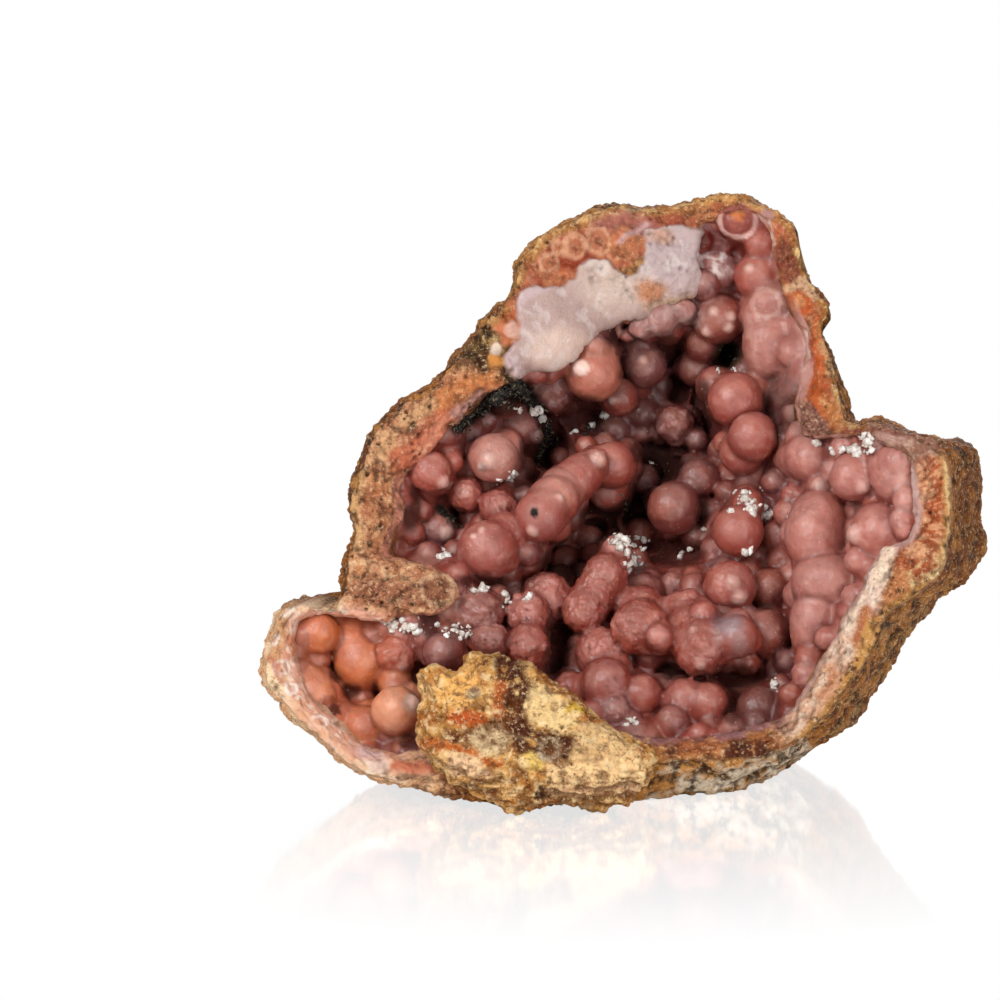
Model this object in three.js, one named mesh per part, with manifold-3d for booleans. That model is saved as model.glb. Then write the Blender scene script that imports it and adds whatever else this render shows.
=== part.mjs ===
// A broken-open geode: a brown rind of stone around a hollow, lined with pink lumps and
// fingers of chalcedony. Millimetres, +Z up. The open side faces -Y and the rock stands on Z = 0.
import * as THREE from 'three';
import { mergeVertices } from 'three/addons/utils/BufferGeometryUtils.js';
import { ParametricGeometry } from 'three/addons/geometries/ParametricGeometry.js';
import { ImprovedNoise } from 'three/addons/math/ImprovedNoise.js';
import Module from 'manifold-3d';

// Driving dimensions.
const WIDTH = 109; // the rock from its left pocket to its right arm
const BACK_DEPTH = 65; // from the front rim to the outside of the back
const HOLLOW_DEPTH = 53; // from the front rim to the floor of the hollow
const LEAN = THREE.MathUtils.degToRad(12); // how far the sheet leans back from upright
const EYE = 900; // the sheet is drawn as it looks from here
const CLEARANCE = 0.35; // between the crust and the rind
const FINGER_ROOT = 7; // how far a finger's end is sunk below the bed
const BED_BLUR = 14; // on the sheet: how softly the bed follows the lumps
const BED_BEHIND = 0.35; // the bed lies this share of a lump's radius behind its middle
const CLEAR_OF_BED = 0.4; // a lump whose middle stands further out than this has a finger
const BED_STEP = 1.2; // how far the bed lies behind the lip
const LIP_PULL = 0.4; // how strongly the bed comes forward to the lip

// The drawing sheet: x to the right and y down, in units of which the rock is 725 wide.
const DRAWN_WIDTH = 725;
const UNIT = WIDTH / DRAWN_WIDTH;
const SHEET_MIDDLE = 500; // the line of sight meets the sheet at this x and y
const FLOOR_LINE = 815; // the y of the front foot
const BOX_MIDDLE = { x: 19.175, y: 36.145 }; // from the sheet's middle and floor line, in mm

// The hollow's floor and the middle of the back: x and y on the sheet, and depth behind it in mm.
const HOLLOW_CENTRE = [620, 525, HOLLOW_DEPTH];
const BED_CENTRE = [605, 480];
const BED_REACH = [400, 335];
const BACK_CENTRE = [610, 530, BACK_DEPTH];
// Half the width and height of the plain ovals that the back and the hollow tend to, inwards
// from the rim, and how many stations each way share their bearing there.
const BACK_OVAL = [300, 285];
const HOLLOW_OVAL = [235, 225];
const BEARING_SPAN = 6;
// The left pocket is shallow: around this point the wall runs straight and not full.
const POCKET = { x: 320, y: 680, reach: 150, flat: 0.35 };

// The rim, station by station clockwise. Each line has three points as x, y and depth:
// the outline of the rind, the outer edge of the broken face, and the lip of the hollow.
const RIM = [
  // the upper lobe, from the notch on its left over the top
  [458, 352, 27, 461, 355, 24, 512, 382, 25],
  [484, 318, 31, 487, 321, 28, 530, 369, 28],
  [510, 293, 35, 512, 296, 31, 558, 368, 29],
  [518, 262, 38, 521, 265, 33, 587, 344, 31],
  [537, 237, 40, 539, 240, 35, 602, 330, 33],
  [573, 218, 41, 574, 221, 36, 641, 319, 34],
  [605, 207, 42, 606, 210, 37, 672, 304, 35],
  [642, 207, 42, 643, 210, 38, 700, 287, 36],
  [681, 204, 42, 682, 207, 38, 696, 258, 37],
  [709, 194, 42, 710, 197, 38, 703, 228, 38],
  [738, 192, 42, 738, 195, 38, 735, 221, 38],
  [765, 205, 41, 764, 208, 37, 760, 224, 37],
  // down its right side
  [792, 218, 39, 789, 221, 35, 768, 243, 36],
  [802, 250, 37, 799, 251, 33, 776, 262, 34],
  [812, 281, 35, 809, 282, 31, 783, 292, 32],
  [831, 311, 33, 828, 312, 29, 797, 325, 30],
  [824, 325, 32, 821, 327, 28, 805, 345, 29],
  [837, 360, 30, 833, 361, 26, 803, 368, 28],
  [848, 390, 28, 839, 390, 23, 796, 395, 27],
  [860, 423, 25, 849, 424, 18, 806, 436, 22],
  // the top of the right arm
  [876, 420, 20, 872, 424, 13, 842, 438, 17],
  [890, 422, 17, 888, 426, 10, 864, 437, 12],
  [912, 429, 15, 909, 433, 8, 884, 445, 10],
  [944, 439, 15, 936, 444, 7, 903, 455, 9],
  [975, 450, 18, 944, 457, 6, 910, 479, 8],
  [979, 483, 22, 949, 488, 5, 913, 503, 7],
  [981, 513, 24, 950, 515, 5, 915, 522, 7],
  [984, 548, 24, 948, 543, 4, 905, 538, 7],
  [966, 578, 23, 940, 572, 4, 884, 550, 7],
  [940, 599, 22, 915, 595, 4, 868, 570, 7],
  [927, 616, 21, 888, 613, 4, 861, 590, 7],
  // down the right arm and along the bottom
  [904, 639, 20, 875, 641, 4, 845, 612, 7],
  [888, 667, 19, 862, 668, 4, 834, 640, 7],
  [871, 697, 18, 841, 694, 4, 815, 668, 7],
  [847, 724, 17, 819, 722, 4, 799, 697, 7],
  [820, 747, 16, 796, 741, 4, 785, 714, 7],
  [785, 772, 15, 765, 754, 4, 755, 726, 7],
  [740, 789, 13, 735, 758, 4, 720, 734, 7],
  [690, 794, 11, 690, 759, 4, 685, 738, 7],
  [640, 803, 8, 650, 758, 3, 650, 736, 6],
  // behind the knob
  [600, 813, 6, 612, 752, 3, 620, 734, 6],
  [560, 806, 5, 562, 755, 3, 580, 730, 7],
  [520, 812, 4, 516, 758, 3, 535, 726, 8],
  [480, 803, 4, 472, 766, 3, 485, 728, 8],
  [440, 797, 5, 432, 776, 3, 442, 742, 7],
  // the left pocket
  [397, 787, 7, 395, 781, 3, 405, 753, 6],
  [355, 775, 9, 357, 769, 4, 365, 748, 7],
  [312, 740, 11, 318, 736, 5, 335, 720, 8],
  [280, 706, 13, 286, 703, 7, 312, 698, 9],
  [260, 680, 14, 265, 678, 8, 300, 675, 10],
  [266, 648, 15, 271, 647, 9, 295, 647, 11],
  [276, 614, 16, 281, 617, 10, 300, 622, 12],
  [292, 601, 17, 295, 605, 11, 313, 617, 13],
  [318, 606, 17, 319, 609, 12, 344, 617, 14],
  // the tongue that parts the pocket from the hollow
  [336, 604, 17, 338, 607, 12, 376, 622, 13],
  [341, 597, 17, 343, 599, 12, 415, 617, 12],
  [342, 590, 18, 345, 591, 12, 446, 611, 11],
  [343, 581, 18, 347, 582, 12, 460, 592, 11],
  [344, 572, 19, 348, 573, 13, 448, 574, 12],
  [345, 562, 19, 349, 563, 13, 415, 562, 14],
  // up the left wall
  [347, 548, 20, 351, 549, 14, 390, 554, 16],
  [352, 532, 21, 355, 532, 15, 396, 532, 18],
  [346, 512, 22, 350, 512, 16, 405, 508, 19],
  [350, 490, 23, 354, 490, 17, 401, 484, 20],
  [361, 462, 24, 364, 464, 18, 418, 466, 21],
  [372, 431, 25, 375, 434, 19, 443, 437, 22],
  [400, 405, 26, 402, 408, 20, 462, 419, 23],
  [436, 381, 26, 438, 384, 22, 487, 395, 24],
];

// The knob of rind in front of the hollow, as x and y clockwise, then the depths of its
// front, of its outline and of its back.
const KNOB_OUTLINE = [
  [420, 672], [432, 664], [455, 671], [470, 654], [505, 657], [535, 663], [556, 681],
  [588, 706], [602, 720], [628, 738], [640, 762], [628, 790], [606, 812], [560, 806],
  [515, 812], [480, 802], [445, 780], [422, 752], [416, 722], [420, 700],
];
const KNOB_MIDDLE = [515, 735];
const KNOB_ROOT = [515, 775];
const KNOB_DEPTHS = { front: -5, outline: 1, back: 11 };

// The lumps and finger ends of the crust: x, y, radius on the sheet, and depth in mm.
const LUMPS = [
  // under the white patch and along the top of the upper lobe
  [594, 373, 29, 36], [553, 390, 24, 40], [618, 397, 20, 41], [644, 365, 23, 44],
  [661, 322, 14, 41], [645, 330, 11, 41], [684, 312, 13, 40], [716, 270, 21, 41],
  [757, 276, 23, 39], [718, 319, 26, 41], [704, 343, 19, 43], [696, 369, 18, 46],
  [768, 305, 19, 37], [768, 335, 22, 37], [768, 358, 20, 37], [735, 400, 28, 33],
  [753, 436, 25, 30], [741, 452, 22, 33], [795, 415, 15, 34],
  // the deep middle of the hollow
  [675, 425, 20, 44], [698, 440, 10, 43], [698, 478, 20, 37], [674, 508, 27, 33],
  [616, 430, 16, 47], [645, 480, 15, 46], [590, 540, 15, 44], [565, 562, 15, 40],
  [640, 532, 14, 46], [560, 458, 10, 45], [738, 531, 26, 26], [748, 506, 16, 30],
  // the right wall
  [810, 457, 24, 25], [785, 458, 10, 31], [818, 486, 10, 23], [853, 477, 24, 17],
  [818, 516, 25, 22], [815, 542, 28, 21], [818, 583, 27, 19], [840, 583, 23, 18],
  [878, 531, 28, 13], [897, 482, 23, 13], [888, 448, 18, 15], [815, 615, 24, 18],
  [815, 650, 18, 18], [787, 662, 13, 21], [770, 588, 20, 28],
  // the long finger that reaches across the middle
  [612, 465, 24, 33], [608, 492, 20, 38], [592, 466, 15, 29], [563, 490, 24, 26],
  [541, 516, 26, 20], [555, 500, 22, 23],
  // the left wall
  [519, 428, 21, 37], [484, 420, 12, 34], [494, 458, 25, 25], [434, 475, 22, 28],
  [403, 547, 17, 26], [438, 530, 21, 28], [465, 495, 17, 27], [498, 507, 18, 25],
  [487, 550, 30, 19], [507, 535, 24, 22], [527, 553, 12, 21],
  // the floor, from the left to the right
  [478, 612, 26, 17], [488, 640, 20, 15], [528, 615, 23, 19], [528, 645, 22, 16],
  [546, 598, 27, 25], [606, 575, 22, 23], [584, 612, 22, 21], [617, 549, 14, 25],
  [642, 595, 23, 28], [640, 627, 28, 18], [661, 638, 12, 14], [600, 652, 25, 20],
  [607, 684, 26, 15], [642, 694, 20, 15], [570, 687, 16, 20], [615, 711, 19, 14],
  [686, 614, 25, 22], [704, 613, 12, 16], [702, 647, 30, 16], [737, 637, 22, 14],
  [730, 587, 27, 24], [694, 586, 14, 27], [766, 634, 25, 23], [708, 703, 21, 14],
  [685, 700, 22, 15], [672, 722, 18, 13], [758, 708, 22, 15],
  // the left pocket
  [318, 633, 21, 15], [313, 693, 23, 14], [362, 665, 26, 17], [397, 655, 20, 15],
  [385, 628, 11, 16], [396, 711, 25, 10], [395, 682, 18, 15], [362, 727, 21, 13],
  [345, 622, 14, 19], [443, 652, 20, 12],
];
const SMALL_LUMP = 26; // lumps smaller than this have twelve faces, and the others eighty

const wasm = await Module();
wasm.setup();
const noise = new ImprovedNoise();

// A point of the sheet, moved back by its depth, in the frame of the rock.
function place([x, y, depth]) {
  const spread = 1 + depth / EYE;
  const across = (x - SHEET_MIDDLE) * spread * UNIT;
  const up = (FLOOR_LINE - SHEET_MIDDLE + (SHEET_MIDDLE - y) * spread) * UNIT;
  return new THREE.Vector3(
    across,
    up * Math.sin(LEAN) + depth * Math.cos(LEAN),
    up * Math.cos(LEAN) - depth * Math.sin(LEAN),
  );
}

function mix(a, b, share) {
  return a.map((value, i) => value + (b[i] - value) * share);
}

// A point of the bowl between a rim point and a centre: turn 0 is the rim, 1 the centre.
// The bowl's own outline goes from the rim's to the oval's on the way.
function bowl(rimPoint, ovalPoint, centre, turn) {
  const rim = mix(rimPoint, ovalPoint, THREE.MathUtils.smoothstep(turn, 0.12, 0.7));
  const distance = Math.hypot(rim[0] - POCKET.x, rim[1] - POCKET.y) / POCKET.reach;
  const full = 1 - POCKET.flat * Math.exp(-distance * distance);
  const angle = (turn * Math.PI) / 2;
  const keep = full * Math.cos(angle) ** 0.65 + (1 - full) * (1 - turn);
  const sink = full * Math.sin(angle) + (1 - full) * turn;
  return [
    centre[0] + (rim[0] - centre[0]) * keep,
    centre[1] + (rim[1] - centre[1]) * keep,
    rim[2] + (centre[2] - rim[2]) * sink,
  ];
}

// Moves a point by lumps of about this size, up to this height.
function roughened(point, size, height) {
  const [a, b, c] = [point.x / size, point.y / size, point.z / size];
  return new THREE.Vector3(
    point.x + height * noise.noise(a, b, c),
    point.y + height * noise.noise(a + 31, b, c),
    point.z + height * noise.noise(a, b + 47, c),
  );
}

// The oval that a curve of the rim tends to, point by point. Each point's bearing is the mean
// over its neighbours, so that no two points change places where the curve doubles back.
function ovalled(curve, [middleX, middleY], [halfWidth, halfHeight]) {
  const count = curve.length;
  const bearings = [];
  curve.forEach(([x, y], i) => {
    let bearing = Math.atan2(y - middleY, x - middleX);
    while (i > 0 && bearing < bearings[i - 1] - Math.PI) bearing += 2 * Math.PI;
    bearings.push(bearing);
  });
  return curve.map((point, i) => {
    let sum = 0;
    for (let k = i - BEARING_SPAN; k <= i + BEARING_SPAN; k += 1) {
      sum += bearings[(k + count) % count] + 2 * Math.PI * Math.floor(k / count);
    }
    const bearing = sum / (2 * BEARING_SPAN + 1);
    return [
      middleX + halfWidth * Math.cos(bearing),
      middleY + halfHeight * Math.sin(bearing),
      point[2],
    ];
  });
}

// The ring with each run of this many points drawn together into one.
function thinned(ring, run) {
  return ring.map((p, i) => ring[i - (i % run)]);
}

// A closed skin through rings of points. The first and the last ring are single points.
function skin(rings) {
  const around = rings.find((ring) => ring.length > 1).length;
  const last = rings.length - 1;
  const pick = (u, v, target) => {
    const ring = rings[Math.round(v * last)];
    target.copy(ring[Math.round(u * around) % around % ring.length]);
  };
  return new ParametricGeometry(pick, around, last);
}

// The geometry with its shared corners merged.
function welded(geometry) {
  const bare = geometry.clone();
  bare.deleteAttribute('normal');
  bare.deleteAttribute('uv');
  return mergeVertices(bare, 1e-5);
}

// The geometry as a manifold, without its empty triangles and with its faces turned outwards.
function solid(geometry) {
  const { attributes, index } = welded(geometry);
  const triangles = [];
  for (let i = 0; i < index.count; i += 3) {
    const [a, b, c] = [index.getX(i), index.getX(i + 1), index.getX(i + 2)];
    if (a !== b && b !== c && c !== a) triangles.push([a, b, c]);
  }
  const manifold = (faces) => new wasm.Manifold(new wasm.Mesh({
    numProp: 3,
    vertProperties: new Float32Array(attributes.position.array),
    triVerts: new Uint32Array(faces.flat()),
  }));
  const made = manifold(triangles);
  return made.volume() > 0 ? made : manifold(triangles.map(([a, b, c]) => [a, c, b]));
}

// Moves every corner along its normal: a positive distance grows the body.
function grown(geometry, distance) {
  const merged = welded(geometry);
  merged.computeVertexNormals();
  const { position, normal } = merged.attributes;
  for (let i = 0; i < position.count; i += 1) {
    position.setXYZ(
      i,
      position.getX(i) + distance * normal.getX(i),
      position.getY(i) + distance * normal.getY(i),
      position.getZ(i) + distance * normal.getZ(i),
    );
  }
  return merged;
}

function mesh(name, manifold, colour, roughness) {
  const { vertProperties, triVerts } = manifold.getMesh();
  const geometry = new THREE.BufferGeometry();
  geometry.setAttribute('position', new THREE.BufferAttribute(new Float32Array(vertProperties), 3));
  geometry.setIndex(new THREE.BufferAttribute(new Uint32Array(triVerts), 1));
  geometry.computeVertexNormals();
  const material = new THREE.MeshStandardMaterial({ color: colour, roughness, metalness: 0 });
  const made = new THREE.Mesh(geometry, material);
  made.name = name;
  return made;
}

const outline = RIM.map((row) => row.slice(0, 3));
const edge = RIM.map((row) => row.slice(3, 6));
const lip = RIM.map((row) => row.slice(6, 9));

const FIRST_TURN = 0.1;
const BACK_TURNS = [0.86, 0.72, 0.58, 0.45, 0.32, 0.2, FIRST_TURN];
const WALL_TURNS = [FIRST_TURN, 0.25, 0.42, 0.6, 0.8];
const BED_KEEPS = [0.2, 0.38, 0.54, 0.68, 0.82, 1];
const BED_BEARINGS = 28;
const backOval = ovalled(outline, BACK_CENTRE, BACK_OVAL);
const hollowOval = ovalled(lip, HOLLOW_CENTRE, HOLLOW_OVAL);
const wallRings = WALL_TURNS.map((turn) => thinned(
  lip.map((p, i) => place(bowl(p, hollowOval[i], HOLLOW_CENTRE, turn))),
  turn > FIRST_TURN ? 2 : 1,
));

// The rind and its broken rim, before the knob and the flat foot.
function rindSkin() {
  const rough = (size, height) => (p) => roughened(place(p), size, height);
  const face = edge.map((p, i) => mix(p, lip[i], 0.5)).map(([x, y, depth]) => [x, y, depth - 0.8]);
  return skin([
    [place(BACK_CENTRE)],
    ...BACK_TURNS.map((turn) => thinned(outline.map((p, i) => (
      rough(9, Math.min(3, 7 * turn))(bowl(p, backOval[i], BACK_CENTRE, turn))
    )), turn > FIRST_TURN ? 2 : 1)),
    outline.map(rough(4, 0.3)),
    edge.map(rough(4, 0.3)),
    face.map(rough(3, 0.8)),
    lip.map(place),
    ...wallRings,
    [place(HOLLOW_CENTRE)],
  ]);
}

// The room inside the hollow, closed by a lid well in front of the rim.
function roomSkin() {
  const LID = 25;
  const front = lip.map(([x, y, depth]) => place([x, y, depth - LID]));
  return skin([
    [place([HOLLOW_CENTRE[0], HOLLOW_CENTRE[1], -LID])],
    front,
    lip.map(place),
    ...wallRings,
    [place(HOLLOW_CENTRE)],
  ]);
}

// The knob: a thick slab with a domed front, its foot on the floor.
function knobSkin() {
  const ring = (keep, depth, middle = KNOB_MIDDLE) => KNOB_OUTLINE.map((p) => {
    const [x, y] = mix(middle, p, keep);
    return roughened(place([x, y, depth]), 5, 1.6);
  });
  const { front, outline: mid, back } = KNOB_DEPTHS;
  return skin([
    [place([...KNOB_MIDDLE, front])],
    ring(0.45, front),
    ring(0.8, mid + (front - mid) * 0.85),
    ring(0.95, mid + (front - mid) * 0.5),
    ring(1, mid),
    ring(0.82, back, KNOB_ROOT),
    [place([...KNOB_ROOT, back])],
  ]);
}

// How deep the crust lies at this place of the sheet: it follows the lumps that grow from it
// and comes forward to the lip.
function bedDepth(x, y) {
  let total = 0;
  let weights = 0;
  const pull = (atX, atY, depth, strength) => {
    const weight = strength * ((x - atX) ** 2 + (y - atY) ** 2 + BED_BLUR ** 2) ** -2;
    total += weight * depth;
    weights += weight;
  };
  LUMPS.forEach(([atX, atY, radius, depth]) => {
    pull(atX, atY, depth + BED_BEHIND * radius * UNIT, 1);
  });
  lip.forEach(([atX, atY, depth]) => pull(atX, atY, depth + BED_STEP, LIP_PULL));
  return total / weights;
}

// The crust between the lumps, as a block behind the bed. The room of the hollow trims it.
function crustSkin() {
  const ring = (keep, depthAt) => Array.from({ length: BED_BEARINGS }, (_, i) => {
    const bearing = (2 * Math.PI * i) / BED_BEARINGS;
    const x = BED_CENTRE[0] + BED_REACH[0] * keep * Math.cos(bearing);
    const y = BED_CENTRE[1] + BED_REACH[1] * keep * Math.sin(bearing);
    return place([x, y, depthAt(x, y)]);
  });
  const behind = HOLLOW_DEPTH + 10;
  return skin([
    [place([...BED_CENTRE, bedDepth(...BED_CENTRE)])],
    ...BED_KEEPS.map((keep) => ring(keep, bedDepth)),
    ring(1, () => behind),
    [place([...BED_CENTRE, behind])],
  ]);
}

// A rounded lump, on a finger of its own where it stands clear of the bed.
function lump([x, y, radius, depth]) {
  const centre = place([x, y, depth]);
  const size = radius * UNIT;
  const ball = radius < SMALL_LUMP
    ? new THREE.DodecahedronGeometry(size)
    : new THREE.IcosahedronGeometry(size, 1);
  ball.rotateX(x).rotateY(y).translate(centre.x, centre.y, centre.z);
  const reach = bedDepth(x, y) - depth;
  if (reach < size * CLEAR_OF_BED) return [solid(ball)];
  const length = reach + FINGER_ROOT;
  const root = place([x, y, depth + length]);
  const along = root.sub(centre).normalize();
  const finger = new THREE.CylinderGeometry(size * 0.9, size * 0.8, length, 5);
  finger.translate(0, length / 2, 0);
  finger.applyQuaternion(new THREE.Quaternion().setFromUnitVectors(new THREE.Vector3(0, 1, 0), along));
  finger.translate(centre.x, centre.y, centre.z);
  return [solid(ball), solid(finger)];
}

const floorBlock = solid(new THREE.BoxGeometry(400, 400, 40).translate(0, 0, -20));
const rind = solid(rindSkin()).add(solid(knobSkin())).subtract(floorBlock);

const room = solid(grown(roomSkin(), -CLEARANCE));
const lumps = wasm.Manifold.union(LUMPS.flatMap(lump));
const crust = solid(crustSkin()).add(lumps).intersect(room).subtract(solid(grown(knobSkin(), CLEARANCE)));

const rock = new THREE.Group();
rock.position.set(-BOX_MIDDLE.x, -BOX_MIDDLE.y, 0);
rock.add(mesh('geode_shell', rind, 0x8a5a38, 0.9));
rock.add(mesh('chalcedony_crust', crust, 0xb8695c, 0.35));

export default rock;
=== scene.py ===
"""A broken-open geode lined with pink chalcedony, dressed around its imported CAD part.

Shapes are drawn on an upright sheet that leans back by LEAN, seen from EYE: x runs to the right
and y down, in units of which the rock is DRAWN_WIDTH wide, and depth runs back in millimetres.
"""
import math

import bmesh
import bpy
import numpy as np
import openvdb
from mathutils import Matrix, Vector, noise


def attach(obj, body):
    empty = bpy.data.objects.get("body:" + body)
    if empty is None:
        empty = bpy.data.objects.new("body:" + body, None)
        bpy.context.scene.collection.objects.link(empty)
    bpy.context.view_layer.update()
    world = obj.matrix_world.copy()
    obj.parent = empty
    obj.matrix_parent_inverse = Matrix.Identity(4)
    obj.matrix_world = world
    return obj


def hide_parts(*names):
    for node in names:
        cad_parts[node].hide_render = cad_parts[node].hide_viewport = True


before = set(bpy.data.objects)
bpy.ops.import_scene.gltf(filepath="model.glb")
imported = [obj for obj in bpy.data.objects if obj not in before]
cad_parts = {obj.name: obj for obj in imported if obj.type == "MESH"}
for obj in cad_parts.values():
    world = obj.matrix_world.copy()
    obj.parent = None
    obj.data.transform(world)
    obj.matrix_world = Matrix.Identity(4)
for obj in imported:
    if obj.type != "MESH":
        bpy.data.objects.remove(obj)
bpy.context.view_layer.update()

# The drawing sheet, as in the part's source. Millimetres unless said otherwise.
WIDTH = 109.0
DRAWN_WIDTH = 725
UNIT = WIDTH / DRAWN_WIDTH
MM = 0.001  # of Blender's metres
SHEET_MIDDLE = 500
FLOOR_LINE = 815
BOX_MIDDLE = (19.175, 36.145)
LEAN = math.radians(12)
EYE = 900.0
BACK_DEPTH = 65.0
RIND_WALL = 4.0
HOLLOW_DEPTH = 53.0
HOLLOW_CENTRE = (620, 525, HOLLOW_DEPTH)
BACK_CENTRE = (610, 530, BACK_DEPTH)
BACK_OVAL = (300, 285)
HOLLOW_OVAL = (235, 225)
BEARING_SPAN = 6
POCKET = {"x": 320, "y": 680, "reach": 150, "flat": 0.35}

# The rim, station by station clockwise: the outline of the rind, the outer edge of the broken
# face, and the lip of the hollow, each as x, y and depth.
RIM = np.array([
  # the upper lobe, from the notch on its left over the top
  [458, 352, 27, 461, 355, 24, 512, 382, 25],
  [484, 318, 31, 487, 321, 28, 530, 369, 28],
  [510, 293, 35, 512, 296, 31, 558, 368, 29],
  [518, 262, 38, 521, 265, 33, 587, 344, 31],
  [537, 237, 40, 539, 240, 35, 602, 330, 33],
  [573, 218, 41, 574, 221, 36, 641, 319, 34],
  [605, 207, 42, 606, 210, 37, 672, 304, 35],
  [642, 207, 42, 643, 210, 38, 700, 287, 36],
  [681, 204, 42, 682, 207, 38, 696, 258, 37],
  [709, 194, 42, 710, 197, 38, 703, 228, 38],
  [738, 192, 42, 738, 195, 38, 735, 221, 38],
  [765, 205, 41, 764, 208, 37, 760, 224, 37],
  # down its right side
  [792, 218, 39, 789, 221, 35, 768, 243, 36],
  [802, 250, 37, 799, 251, 33, 776, 262, 34],
  [812, 281, 35, 809, 282, 31, 783, 292, 32],
  [831, 311, 33, 828, 312, 29, 797, 325, 30],
  [824, 325, 32, 821, 327, 28, 805, 345, 29],
  [837, 360, 30, 833, 361, 26, 803, 368, 28],
  [848, 390, 28, 839, 390, 23, 796, 395, 27],
  [860, 423, 25, 849, 424, 18, 806, 436, 22],
  # the top of the right arm
  [876, 420, 20, 872, 424, 13, 842, 438, 17],
  [890, 422, 17, 888, 426, 10, 864, 437, 12],
  [912, 429, 15, 909, 433, 8, 884, 445, 10],
  [944, 439, 15, 936, 444, 7, 903, 455, 9],
  [975, 450, 18, 944, 457, 6, 910, 479, 8],
  [979, 483, 22, 949, 488, 5, 913, 503, 7],
  [981, 513, 24, 950, 515, 5, 915, 522, 7],
  [984, 548, 24, 948, 543, 4, 905, 538, 7],
  [966, 578, 23, 940, 572, 4, 884, 550, 7],
  [940, 599, 22, 915, 595, 4, 868, 570, 7],
  [927, 616, 21, 888, 613, 4, 861, 590, 7],
  # down the right arm and along the bottom
  [904, 639, 20, 875, 641, 4, 845, 612, 7],
  [888, 667, 19, 862, 668, 4, 834, 640, 7],
  [871, 697, 18, 841, 694, 4, 815, 668, 7],
  [847, 724, 17, 819, 722, 4, 799, 697, 7],
  [820, 747, 16, 796, 741, 4, 785, 714, 7],
  [785, 772, 15, 765, 754, 4, 755, 726, 7],
  [740, 789, 13, 735, 758, 4, 720, 734, 7],
  [690, 794, 11, 690, 759, 4, 685, 738, 7],
  [640, 803, 8, 650, 758, 3, 650, 736, 6],
  # behind the knob
  [600, 813, 6, 612, 752, 3, 620, 734, 6],
  [560, 806, 5, 562, 755, 3, 580, 730, 7],
  [520, 812, 4, 516, 758, 3, 535, 726, 8],
  [480, 803, 4, 472, 766, 3, 485, 728, 8],
  [440, 797, 5, 432, 776, 3, 442, 742, 7],
  # the left pocket
  [397, 787, 7, 395, 781, 3, 405, 753, 6],
  [355, 775, 9, 357, 769, 4, 365, 748, 7],
  [312, 740, 11, 318, 736, 5, 335, 720, 8],
  [280, 706, 13, 286, 703, 7, 312, 698, 9],
  [260, 680, 14, 265, 678, 8, 300, 675, 10],
  [266, 648, 15, 271, 647, 9, 295, 647, 11],
  [276, 614, 16, 281, 617, 10, 300, 622, 12],
  [292, 601, 17, 295, 605, 11, 313, 617, 13],
  [318, 606, 17, 319, 609, 12, 344, 617, 14],
  # the tongue that parts the pocket from the hollow
  [336, 604, 17, 338, 607, 12, 376, 622, 13],
  [341, 597, 17, 343, 599, 12, 415, 617, 12],
  [342, 590, 18, 345, 591, 12, 446, 611, 11],
  [343, 581, 18, 347, 582, 12, 460, 592, 11],
  [344, 572, 19, 348, 573, 13, 448, 574, 12],
  [345, 562, 19, 349, 563, 13, 415, 562, 14],
  # up the left wall
  [347, 548, 20, 351, 549, 14, 390, 554, 16],
  [352, 532, 21, 355, 532, 15, 396, 532, 18],
  [346, 512, 22, 350, 512, 16, 405, 508, 19],
  [350, 490, 23, 354, 490, 17, 401, 484, 20],
  [361, 462, 24, 364, 464, 18, 418, 466, 21],
  [372, 431, 25, 375, 434, 19, 443, 437, 22],
  [400, 405, 26, 402, 408, 20, 462, 419, 23],
  [436, 381, 26, 438, 384, 22, 487, 395, 24],
], dtype=float)

# The knob of rind in front of the hollow: its outline clockwise, its front and its root.
KNOB_OUTLINE = np.array([
  [420, 672], [432, 664], [455, 671], [470, 654], [505, 657], [535, 663], [556, 681],
  [586, 706], [602, 722], [630, 740], [652, 756], [648, 782], [612, 808], [560, 806],
  [515, 812], [480, 802], [445, 780], [422, 752], [416, 722], [420, 700],
], dtype=float)
KNOB_MIDDLE = (515, 735)
KNOB_ROOT = (515, 775)
KNOB_FRONT = -5
KNOB_SIDE = 1
KNOB_BACK = 11

# The tones of the crust, then the kinds of balls that take the tone of what they sit on.
SALMON, ROSE, MAUVE, PALE, ORANGE, DUSKY, RED, PEACH, NIPPLE, BUMP, CHAIN = range(11)
TONES = ["a6574c", "994a3e", "784a49", "b9786e", "cc7646", "7a3c34", "a23e2e", "e09c76"]
ANY = None  # a tone that is drawn by chance

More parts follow.
